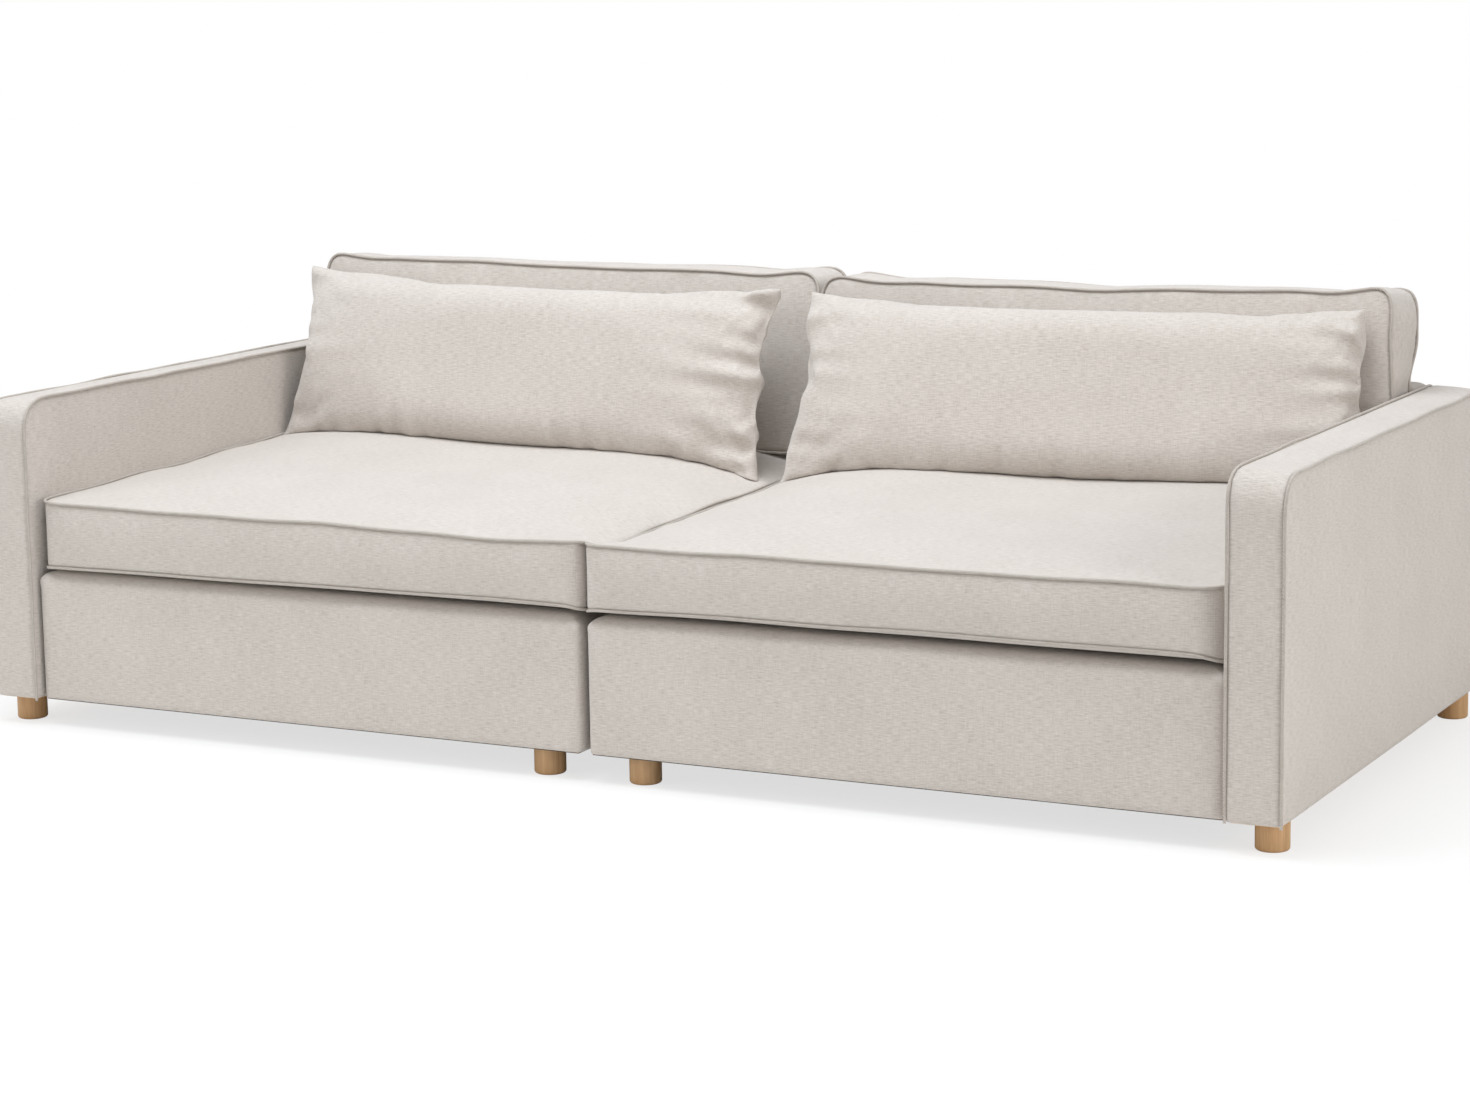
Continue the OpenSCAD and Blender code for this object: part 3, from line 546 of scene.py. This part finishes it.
def makeSeatCushion(side, seed):
    s = seatCushion
    low, high = (np.array(c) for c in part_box(f"{side}_seat_cushion_cover"))
    size = high - low
    counts = (round(size[0] / s["cell"]), round(size[1] / s["cell"]), s["layers"])
    lattice, faces, panels = boxGrid(counts)
    unit = lattice / np.array(counts)
    onRight = side == "right"
    front = [s["corner"], s["outerCorner"]] if onRight else [s["outerCorner"], s["corner"]]
    a, b = roundCorners(unit[:, 0] * size[0], unit[:, 1] * size[1], size[0], size[1],
                        front + [s["corner"]] * 2)
    height = s["frontHeight"] + (size[2] - s["frontHeight"]) * b / size[1]
    flat = np.stack([a, b, unit[:, 2] * height], -1)
    points = flat + low
    edge = np.minimum(np.minimum(a, size[0] - a), np.minimum(b, size[1] - b))
    wave = ripples(points * (1, 1, 0.2), s["waveMm"], seed) * s["seamWave"]
    points[:, 2] += wave * falloff(edge, s["waveReach"]) * unit[:, 2]
    fromOuter = size[0] - a if onRight else a
    points[:, 2] += s["outerRise"] * falloff(np.hypot(fromOuter, b), s["riseReach"]) * unit[:, 2]
    pressed = falloff(size[0] - fromOuter, s["sinkReach"])
    pressed *= np.clip((b - s["sinkStart"]) / s["sinkRun"], 0, 1)
    points[:, 2] -= s["innerSink"] * pressed * unit[:, 2]
    start, end = s["footLift"][side]
    lift = start + (end - start) * np.sin(a / size[0] * math.pi / 2)
    lift += s["footWave"] * ripples(points, 300, seed + 1)
    # the underside curls down behind the front seam, then lies down on the base farther back
    fade = sum(share * falloff(b, reach) for share, reach in zip(s["footShare"], s["footReach"]))
    points[:, 2] += np.maximum(lift, 0) * (1 - unit[:, 2]) ** 2 * fade
    points[:, 1] += ripples(points, 330, seed + 2) * s["frontBow"] * falloff(b, s["bowReach"])
    piece = clothMesh(f"{side}SeatCushion", points, flat, faces, panels)
    rings = [ringOf(lattice, counts, k) for k in (0, counts[2])]
    pinned = np.zeros(len(points))
    pinned[lattice[:, 2] == 0] = 1
    pinned[lattice[:, 1] == counts[1]] = 1
    for ring in rings:
        pinned[ring] = 1
    moved = inflate(piece, s["frames"], s["pressure"], pinned) - points
    # the swelling keeps the cloth's own shape, and its size is set by the filling
    top = lattice[:, 2] == counts[2]
    moved[top] *= s["crown"] / max(moved[top, 2].max(), 1e-6)
    wall = (lattice[:, 2] > 0) & ~top
    across = np.abs(moved[wall, 1]).max() or 1
    along = np.abs(moved[wall, 0]).max() or 1
    moved[wall] *= (s["sidePuff"] / along, s["frontPuff"] / across, 0.3)
    fromSeam = np.minimum(unit[:, 2], 1 - unit[:, 2]) * s["frontHeight"]
    moved[:, 1] -= gathers(a, fromSeam, s["frontFolds"], seed + 4) * (b < 0.001)
    moved[top, 2] += gathers(a + b, edge, s["topFolds"], seed + 5)[top]
    writePoints(piece, keepSide(points + moved, side, moduleGap))
    subdivide(piece)
    cords = sewCords(f"{side}SeatPiping", seamPaths(piece, rings, side), s["cord"])
    body = f"{side}_seat_cushion"
    inside = [f"{side}_seat_cushion_cover", f"{side}_seat_cushion_foam"]
    finishPiece(piece, body, inside)
    finishPiece(cords, body, [f"{side}_seat_piping"])
    return piece


seats = {side: surfaceOf(makeSeatCushion(side, seed)) for side, seed in zip(sides, (11, 23))}
print("seat cushions made")


backCushion = {
    "cell": 0.0125, "layers": 9, "corner": 0.042, "thick": 0.122, "lean": 0.064, "fill": 0.7,
    "crown": 0.008, "facePuff": 0.012, "rearPuff": 0.010, "endPuff": 0.010, "tightPuff": 0.0025,
    "frames": 16, "pressure": 5, "cord": 0.0027,
    # the rear face swings over the backrest from this far above it, within this height
    "overStart": 0.006, "overRun": 0.075,
    # the upper outer corner is drawn in, less at the rear seam than at the front one
    "drawnIn": (0.018, 0.024), "drawnReach": 0.1,
    # the top edge has ears at its ends with a dip behind each, each with its width
    "ears": (0.006, 0.06), "dips": (0.006, 0.06), "dipPlace": 0.13, "seamWave": 0.0028, "waveMm": 210,
    # the top edge sinks by the three amounts at its inner end, middle and outer end
    "topFall": {"left": (0.003, 0.004, -0.006), "right": (0.010, 0.016, -0.003)}, "rearFall": 0.014,
    "faceBow": 0.003,
    # folds: spacing in mm, depth, and how far they reach in from the seam
    "endFolds": (60, 0.011, 0.05), "faceFolds": (70, 0.003, 0.06),
}


def makeBackCushion(side, seed):
    s = backCushion
    low, high = (np.array(c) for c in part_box(f"{side}_back_cushion_cover"))
    size = high - low
    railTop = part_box(f"{side}_back_pad")[1][2]
    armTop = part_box(f"{side}_arm_pad")[1][2]
    # laid flat: x along the sofa, y up the cushion, z from its rear face to its front face
    counts = (round(size[0] / s["cell"]), round(size[2] / s["cell"]), s["layers"])
    lattice, faces, panels = boxGrid(counts)
    unit = lattice / np.array(counts)
    a, b = roundCorners(unit[:, 0] * size[0], unit[:, 1] * size[2], size[0], size[2],
                        [s["corner"]] * 4)
    flat = np.stack([a, b, unit[:, 2] * s["thick"]], -1)
    up = b / size[2]
    frontY = low[1] + s["lean"] * up
    # the rear face is upright before the backrest and swings back over it
    over = np.clip((low[2] + b - railTop - s["overStart"]) / s["overRun"], 0, 1)
    over = over * over * (3 - 2 * over)
    rearY = low[1] + s["thick"] + (high[1] - low[1] - s["thick"]) * over
    y = rearY + (frontY - rearY) * unit[:, 2]
    points = np.stack([low[0] + a, y, low[2] + b], -1)
    fromEnd = np.minimum(a, size[0] - a)
    outwards = 1 if side == "right" else -1
    fromOuter = size[0] - a if side == "right" else a
    ear, earWidth = s["ears"]
    dip, dipWidth = s["dips"]
    wave = ear * np.exp(-(fromEnd / earWidth) ** 2)
    wave -= dip * np.exp(-((fromEnd - s["dipPlace"]) / dipWidth) ** 2)
    wave += ripples(points * (1, 0.3, 0.3), s["waveMm"], seed) * s["seamWave"]
    wave -= np.interp(1 - fromOuter / size[0], (0, 0.5, 1), s["topFall"][side])
    sunk = s["rearFall"] * (1 - unit[:, 2]) * falloff(fromOuter, 0.8)
    points[:, 2] += wave * up ** 4 - sunk * up ** 5
    atRear, atFront = s["drawnIn"]
    drawn = (atRear + (atFront - atRear) * unit[:, 2]) * falloff(fromOuter, s["drawnReach"])
    points[:, 0] -= outwards * drawn * np.clip(up * 1.6 - 0.2, 0, 1)
    # round the zip the rear face keeps to the flat pattern that the zip is sewn to
    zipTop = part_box(f"{side}_back_zip")[1][2]
    free = np.where(unit[:, 2] == 0, np.clip((points[:, 2] - zipTop - 0.01) / 0.08, 0, 1), 1)
    points[:, 1] += ripples(points, 300, seed + 3) * s["faceBow"] * up * free
    piece = clothMesh(f"{side}BackCushion", points, flat, faces, panels)
    rings = [ringOf(lattice, counts, k) for k in (0, counts[2])]
    foot = b < 0.004
    pinned = np.zeros(len(points))
    for ring in rings:
        pinned[ring] = 1
    pinned[foot] = 1
    pinned[(lattice[:, 2] == 0) & (points[:, 2] < railTop + 0.02)] = 1
    moved = inflate(piece, s["frames"], s["pressure"], pinned) - points
    front = lattice[:, 2] == counts[2]
    rear = lattice[:, 2] == 0
    wall = ~front & ~rear
    moved[front] *= s["facePuff"] / max(-moved[front, 1].min(), 1e-6)
    moved[rear] *= s["rearPuff"] / max(moved[rear, 1].max(), 1e-6)
    moved[wall, 2] *= s["crown"] / max(moved[wall, 2].max(), 1e-6)
    moved[wall, 1] *= 0.3
    moved[wall, 0] *= s["endPuff"] / max(np.abs(moved[wall, 0]).max(), 1e-6)
    # between the arms, and against its neighbour, the end walls have no room to swell
    tight = (np.sign(moved[:, 0]) * outwards < 0) | (points[:, 2] < armTop + 0.01)
    held = np.clip(moved[:, 0], -s["tightPuff"], s["tightPuff"])
    moved[:, 0] = np.where(tight, held, moved[:, 0])
    moved[:, 2] = np.where(foot, 0, moved[:, 2])
    fromSeam = np.minimum(unit[:, 2], 1 - unit[:, 2]) * s["thick"]
    freeEnd = wall & (fromOuter < 0.02) & (points[:, 2] > armTop + 0.02)
    moved[:, 0] += gathers(b, fromSeam, s["endFolds"], seed + 6) * freeEnd
    moved[:, 1] += gathers(a, size[2] - b, s["faceFolds"], seed + 7) * front
    writePoints(piece, keepSide(restOn(points + moved, seats[side], (2, 1)), side, moduleGap))
    subdivide(piece)
    cords = sewCords(f"{side}BackPiping", seamPaths(piece, rings, side), s["cord"])
    body = f"{side}_back_cushion"
    inside = [f"{side}_back_cushion_cover", f"{side}_back_cushion_fill"]
    finishPiece(piece, body, inside)
    finishPiece(cords, body, [f"{side}_back_piping"])
    return piece


backs = {side: surfaceOf(makeBackCushion(side, seed)) for side, seed in zip(sides, (37, 41))}
print("back cushions made")


lumbarPillow = {
    "cell": 0.0095, "length": 1.146, "height": 0.350, "thick": 0.120, "fill": 0.7,
    "cutHeight": 0.366, "cutLength": 1.168, "fuller": (0.008, 0.022), "frames": 30, "pressure": 3,
    "tilt": 16.5, "turn": 4.8, "endGap": 0.008, "zipUp": 0.034, "zipWidth": 0.022, "zipShare": 0.85,
    # folds: spacing in mm, depth, and how far they reach in from the seam;
    # at the end seams the depth differs, and is given for the inner and the outer end
    "edgeFolds": (42, 0.013, 0.04), "endFoldMm": 45, "endFoldReach": 0.07,
    "endFolds": {"left": (0.034, 0.010), "right": (0.014, 0.032)},
    "endHollow": 0.012, "hollowReach": 0.06, "scallop": 0.006, "ears": 0.007, "earReach": 0.035,
    # the upper seam sinks, more at its inner and outer corners, and these are drawn in
    "topFall": {"left": 0.013, "right": 0.018}, "cornerReach": 0.13,
    "cornerFall": {"left": (0.014, 0.009), "right": (0.012, 0.022)},
    "drawnIn": {"left": (0.010, 0.004), "right": (0.028, 0.050)}, "drawnReach": 0.15,
}


def lumbarFoot(side):
    # the lower seam's outer end: the lowest point of the pillow's solid, and its place in depth
    co = readPoints(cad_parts[f"{side}_lumbar_cover"])
    endStrip = 0.012
    outer = co[np.abs(co[:, 0]) > np.abs(co[:, 0]).max() - endStrip]
    foot = outer[outer[:, 2].argmin()]
    return foot[1], foot[2]


def makeLumbarPillow(side, seed):
    s = lumbarPillow
    counts = (round(s["cutLength"] / s["cell"]), round(s["cutHeight"] / s["cell"]), 1)
    lattice, faces, panels = boxGrid(counts)
    unit = lattice / np.array(counts) - 0.5
    flat = unit * (s["cutLength"], s["cutHeight"], 0.006)
    points = flat.copy()
    # the panels are cut a little fuller in the middle, so that the corners end as small ears
    fullerX, fullerY = s["fuller"]
    points[:, 1] *= 1 + fullerY * (1 - (2 * unit[:, 0]) ** 6)
    points[:, 0] *= 1 + fullerX * (1 - (2 * unit[:, 1]) ** 4)
    points[:, 2] += ripples(points, 160, seed) * 0.0015
    piece = clothMesh(f"{side}LumbarPillow", points, flat, faces, panels)
    middle = np.abs(unit[:, 0]) < 0.25
    points = inflate(piece, s["frames"], s["pressure"], None, 25, 0.5,
                     lambda co: np.ptp(co[middle, 2]) > s["thick"])
    # the swelling keeps the cloth's own shape, and its size is set by the filling
    points -= (points.max(0) + points.min(0)) / 2
    mid = np.abs(points[:, 0]) < 0.3
    points[:, 0] *= s["length"] / np.ptp(points[:, 0])
    points[:, 1] *= s["height"] / np.ptp(points[mid, 1])
    points[:, 2] *= s["thick"] / np.ptp(points[mid, 2])
    fromEdge = (0.5 - np.abs(unit[:, 1])) * s["cutHeight"]
    fromEnd = (0.5 - np.abs(unit[:, 0])) * s["cutLength"]
    isInner = unit[:, 0] < 0
    folds = gathers(flat[:, 0], fromEdge, s["edgeFolds"], seed + 1) * (0.65 - unit[:, 1])
    depth = np.where(isInner, *s["endFolds"][side])
    folds += gathers(flat[:, 1], fromEnd, (s["endFoldMm"], depth, s["endFoldReach"]), seed + 2)
    points[:, 2] += folds * np.sign(unit[:, 2])
    # the end seams are hollow and scalloped, and the corners stand out as ears
    hollow = s["endHollow"] * (1 - (2 * unit[:, 1]) ** 2)
    hollow += s["scallop"] * ripples(flat * (0, 1, 0), 70, seed + 3)
    points[:, 0] -= np.sign(unit[:, 0]) * hollow * falloff(fromEnd, s["hollowReach"])
    ear = s["ears"] * falloff(np.hypot(fromEnd, fromEdge), s["earReach"])
    points[:, 0] += np.sign(unit[:, 0]) * ear
    wave = 0.002 * ripples(flat * (1, 0, 0), 120, seed + 4) * falloff(fromEdge, 0.03)
    points[:, 1] += np.sign(unit[:, 1]) * ear + wave
    # upright: x from the outer end inwards, y forward, z up from the lower seam
    x = points[:, 0] - s["length"] / 2
    y = -points[:, 2]
    z = points[:, 1] + s["height"] / 2
    # along the zip the rear face lies on the pattern that the zip was sewn to
    radius = (s["height"] ** 2 + s["thick"] ** 2) / (4 * s["thick"])
    fromMiddle = np.clip(z, 0, s["height"]) - s["height"] / 2
    pattern = np.sqrt(radius ** 2 - fromMiddle ** 2) - radius + s["thick"] / 2
    beside = np.abs(x + s["length"] / 2) < s["zipShare"] * s["length"] / 2 + 0.02
    near = np.exp(-((z - s["zipUp"]) / s["zipWidth"]) ** 2) * beside
    y = np.where(unit[:, 2] < 0, y + (pattern - 0.0004 - y) * near, y)
    tilt, turn = math.radians(s["tilt"]), math.radians(s["turn"])
    y, z = y * math.cos(tilt) + z * math.sin(tilt), -y * math.sin(tilt) + z * math.cos(tilt)
    x, y = x * math.cos(turn) - y * math.sin(turn), x * math.sin(turn) + y * math.cos(turn)
    share = np.clip(unit[:, 1] + 0.5, 0, 1)
    inner, outer = s["drawnIn"][side]
    x -= outer * share * falloff((0.5 - unit[:, 0]) * s["cutLength"], s["drawnReach"])
    x += inner * share * falloff((0.5 + unit[:, 0]) * s["cutLength"], s["drawnReach"])
    corner = np.where(isInner, *s["cornerFall"][side]) * falloff(fromEnd, s["cornerReach"])
    z -= share ** 2 * (s["topFall"][side] + corner)
    # the left pillow is the right one's mirror image, so its faces are turned round
    armLow, armHigh = (end[0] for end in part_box(f"{side}_arm_pad"))
    sign, armX = (1, armLow) if side == "right" else (-1, -armHigh)
    footY, footZ = lumbarFoot(side)
    placed = np.stack([sign * (armX - s["endGap"] + x), footY + y, footZ + z], -1)
    if side == "left":
        piece.data.flip_normals()
    placed = restOn(restOn(placed, backs[side], (1, -1)), seats[side], (2, 1))
    writePoints(piece, placed)
    subdivide(piece)
    inside = [f"{side}_lumbar_cover", f"{side}_lumbar_fill"]
    finishPiece(piece, f"{side}_lumbar_pillow", inside)


for side, seed in zip(sides, (53, 67)):
    makeLumbarPillow(side, seed)
print("lumbar pillows made")


armPad = {
    "cell": 0.014, "layers": 8, "frontRadius": 0.054, "rearRadius": 0.020, "edge": 0.003,
    "panelPuff": 0.0025, "puffReach": 0.05, "bandPuff": 0.003, "bandReach": 0.02, "fill": 1.0,
    "wave": 0.0016, "waveMm": 420,
    "cord": 0.0027, "cordStands": 0.0006, "cordWave": 0.0016, "cordWaveMm": 180,
    # the top falls a little to its outer edge and to the rear; more than 8 mm would bare the frame
    "outerFall": 0.0055, "rearFall": 0.0015, "hemGap": 0.003,
}


def makeArm(side, seed):
    s = armPad
    low, high = (np.array(c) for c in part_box(f"{side}_arm_pad"))
    size = high - low
    # lattice axes: y along the arm, z up it, x across it
    counts = (round(size[1] / s["cell"]), round(size[2] / s["cell"]), s["layers"])
    lattice, faces, panels = boxGrid(counts)
    unit = lattice / np.array(counts)
    a, b = roundCorners(unit[:, 0] * size[1], unit[:, 1] * size[2], size[1], size[2],
                        [0, 0, s["rearRadius"], s["frontRadius"]])
    flat = np.stack([a, b, unit[:, 2] * size[0]], -1)
    x = low[0] + s["edge"] + unit[:, 2] * (size[0] - 2 * s["edge"])
    points = np.stack([x, low[1] + a, low[2] + b], -1)
    rim = np.minimum(np.minimum(a, size[1] - a), size[2] - b)
    # the two panels swell away from the middle, most of all far from their seams
    middle = 2 * unit[:, 2] - 1
    panel = np.where(np.abs(middle) > 0.99, np.sign(middle), 0) * (1 - falloff(rim, s["puffReach"]))
    points[:, 0] += panel * (s["panelPuff"] + ripples(points, s["waveMm"], seed) * s["wave"])
    # the band swells between its two cords
    band = (1 - middle ** 2) * s["bandPuff"] / 2
    onTop = unit[:, 1] == 1
    ends = falloff(size[1] - a, s["bandReach"]) - falloff(a, s["bandReach"])
    points[:, 1] += band * ends * ~onTop
    points[:, 2] += band * onTop
    outer = unit[:, 2] if side == "right" else 1 - unit[:, 2]
    points[:, 2] -= (s["outerFall"] * outer + s["rearFall"] * a / size[1]) * (b / size[2]) ** 3
    # the underside is drawn up inside its hem
    hem = (unit[:, 1] == 0) & (rim > 0.005) & (np.abs(middle) < 0.9)
    points[hem, 2] += s["hemGap"]
    # the weft runs across the band, so it lies level on the arm's front
    piece = clothMesh(f"{side}Arm", points, flat, faces, panels, ((2, 0), (2, 1)))
    subdivide(piece)
    wires = []
    index = {tuple(p): n for n, p in enumerate(lattice.tolist())}
    for k in (0, counts[2]):
        # up the front, back along the top and down the rear
        path = [(0, j) for j in range(counts[1] + 1)]
        path += [(i, counts[1]) for i in range(1, counts[0] + 1)]
        path += [(counts[0], j) for j in range(counts[1] - 1, -1, -1)]
        ring = [index[(i, j, k)] for i, j in path]
        line = outward(piece, ring, s["cordStands"])
        line[:, 1:] += ripples(line, s["cordWaveMm"], seed + k)[:, None] * s["cordWave"]
        wires.append((smoothPath(line, False), False))
    cords = sewCords(f"{side}ArmPiping", wires, s["cord"])
    finishPiece(piece, f"{side}_module", [f"{side}_arm_pad"])
    finishPiece(cords, f"{side}_module", [f"{side}_arm_piping"])


baseCover = {
    "cell": 0.014, "topRadius": 0.024, "corner": 0.018, "wave": 0.0018, "waveMm": 380,
    "edgeFall": 0.007, "fallReach": 0.05, "waveReach": 0.04, "hemGap": 0.003, "fill": 1.0,
}
backPad = baseCover | {"topRadius": 0.026, "wave": 0.0012, "waveMm": 420, "edgeFall": 0}


def makeBlock(name, nodes, s, seed, body):
    # a padded box with round upright corners and round top edges
    low, high = (np.array(c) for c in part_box(nodes[0]))
    size = high - low
    counts = tuple(max(round(v / s["cell"]), 6) for v in size)
    lattice, faces, panels = boxGrid(counts)
    unit = lattice / np.array(counts)
    flat = unit * size
    a, b = roundCorners(flat[:, 0], flat[:, 1], size[0], size[1], [s["corner"]] * 4)
    r = s["topRadius"]
    depth = np.clip(flat[:, 2] - (size[2] - r), 0, r)
    # the top edge: walls lean in and the top's rim comes down, both on a quarter circle
    dx = np.minimum(a, size[0] - a)
    dy = np.minimum(b, size[1] - b)
    rim = np.minimum(dx, dy)
    isTop = lattice[:, 2] == counts[2]
    angle = np.where(isTop, np.clip(1 - rim / r, 0, 1) * math.pi / 4,
                     math.pi / 2 - np.clip(depth / r, 0, 1) * math.pi / 4)
    rounded = np.where(isTop, rim < r, depth > 0)
    inset = r - r * np.sin(angle)
    a2 = np.where(rounded & (dx <= dy + 1e-9), np.where(a < size[0] / 2, inset, size[0] - inset), a)
    b2 = np.where(rounded & (dy <= dx + 1e-9), np.where(b < size[1] / 2, inset, size[1] - inset), b)
    z = np.where(rounded, size[2] - r + r * np.cos(angle), flat[:, 2])
    points = np.stack([low[0] + a2, low[1] + b2, low[2] + z], -1)
    upper = np.clip(flat[:, 2] / size[2] * 3 - 2, 0, 1)  # from 0 to 1 over the upper third
    points[:, 2] -= s["edgeFall"] * falloff(rim, s["fallReach"]) * upper
    swell = ripples(points, s["waveMm"], seed) * s["wave"]
    inside = 1 - falloff(np.minimum(flat[:, 2], size[2] - flat[:, 2]), s["waveReach"])
    points[:, 1] += np.where(b < size[1] / 2, swell, -swell) * inside * (dy < 0.001)
    # the underside is drawn up inside its hem
    hem = (lattice[:, 2] == 0) & (rim > 0.012)
    points[hem, 2] += s["hemGap"]
    piece = clothMesh(name, points, flat, faces, panels)
    subdivide(piece)
    finishPiece(piece, body, nodes)


for side, seed in zip(sides, (71, 89)):
    makeArm(side, seed)
    body = f"{side}_module"
    makeBlock(f"{side}Base", [f"{side}_base_cover", f"{side}_deck_foam"], baseCover, seed + 1, body)
    makeBlock(f"{side}Back", [f"{side}_back_pad"], backPad, seed + 2, body)
print("arms, bases and backs made")


studio = {
    "floorTone": "#f4f3f1", "sky": 0.50, "shadowShare": 0.3, "fade": (2.2, 4.5),
    # lamps: place, the spot they face, width, power, tint
    "lamps": {
        "key": ((-0.5, -0.9, 4.6), (0, 0, 0.3), 3.4, 190, "#f2f8ff"),
        "side": ((5.2, -1.4, 2.2), (0.6, -0.2, 0.3), 2.6, 84, "#ffffff"),
        "front": ((-4.4, -4.8, 2.2), (-0.4, -0.2, 0.4), 3.0, 62, "#ffffff"),
    },
}


def addLamp(name, place, target, size, power, tint):
    data = bpy.data.lights.new(name, "AREA")
    data.shape = "DISK"
    data.size = size
    data.energy = power
    data.color = toLinear(tint)[:3]
    lamp = bpy.data.objects.new(name, data)
    bpy.context.scene.collection.objects.link(lamp)
    lamp.location = place
    lamp.rotation_euler = (Vector(target) - Vector(place)).to_track_quat("-Z", "Y").to_euler()


def makeStudio():
    s = studio
    # the paper floor fades out far from the sofa, so no horizon shows
    rings, around = (0.1, 2.2, 3.0, 4.5, 7.0), 48
    points = [(r * math.cos(2 * math.pi * n / around), r * math.sin(2 * math.pi * n / around), 0)
              for r in rings for n in range(around)]
    corners = [(k * around, n, (n + 1) % around) for k in range(len(rings) - 1) for n in range(around)]
    faces = [(k + n, k + around + n, k + around + after, k + after) for k, n, after in corners]
    faces.append(tuple(range(around)))
    mesh = bpy.data.meshes.new("floor")
    mesh.from_pydata(points, [], faces)
    floor = bpy.data.objects.new("floor", mesh)
    bpy.context.scene.collection.objects.link(floor)
    paper = {"Roughness": 0.9, "Base Color": toLinear(s["floorTone"])}
    mat, tree, bsdf = newMaterial("paperSweep", paper)
    mesh.materials.append(mat)
    rays = addNode(tree, "ShaderNodeLightPath")
    white = addNode(tree, "ShaderNodeEmission", {"Color": (1, 1, 1, 1), "Strength": 1})
    share = addNode(tree, "ShaderNodeMath", {"operation": "MULTIPLY", 1: 1 - s["shadowShare"]},
                    {0: rays.outputs["Is Camera Ray"]})
    lit = addNode(tree, "ShaderNodeMixShader", None,
                  {0: share.outputs[0], 1: bsdf.outputs[0], 2: white.outputs[0]})
    place = addNode(tree, "ShaderNodeTexCoord").outputs["Object"]
    reach = addNode(tree, "ShaderNodeVectorMath", {"operation": "LENGTH"}, {0: place})
    near, far = s["fade"]
    fade = addNode(tree, "ShaderNodeMapRange", {"From Min": near, "From Max": far},
                   {"Value": reach.outputs["Value"]})
    clear = addNode(tree, "ShaderNodeBsdfTransparent")
    mix = addNode(tree, "ShaderNodeMixShader", None,
                  {0: fade.outputs[0], 1: lit.outputs[0], 2: clear.outputs[0]})
    tree.links.new(mix.outputs[0], tree.nodes["Material Output"].inputs["Surface"])
    world = bpy.data.worlds.new("studio")
    world.use_nodes = True
    bpy.context.scene.world = world
    tree = world.node_tree
    tree.nodes.clear()
    rays = addNode(tree, "ShaderNodeLightPath")
    seen = addNode(tree, "ShaderNodeMath", {"operation": "MAXIMUM"},
                   {0: rays.outputs["Is Camera Ray"], 1: rays.outputs["Is Glossy Ray"]})
    soft = addNode(tree, "ShaderNodeBackground", {"Color": (1, 1, 1, 1), "Strength": s["sky"]})
    white = addNode(tree, "ShaderNodeBackground", {"Color": (1, 1, 1, 1), "Strength": 1})
    mix = addNode(tree, "ShaderNodeMixShader", None,
                  {0: seen.outputs[0], 1: soft.outputs[0], 2: white.outputs[0]})
    addNode(tree, "ShaderNodeOutputWorld", None, {0: mix.outputs[0]})
    for name, lamp in s["lamps"].items():
        addLamp(name, *lamp)


makeStudio()
bpy.context.scene.view_settings.view_transform = "Standard"
print("studio made")
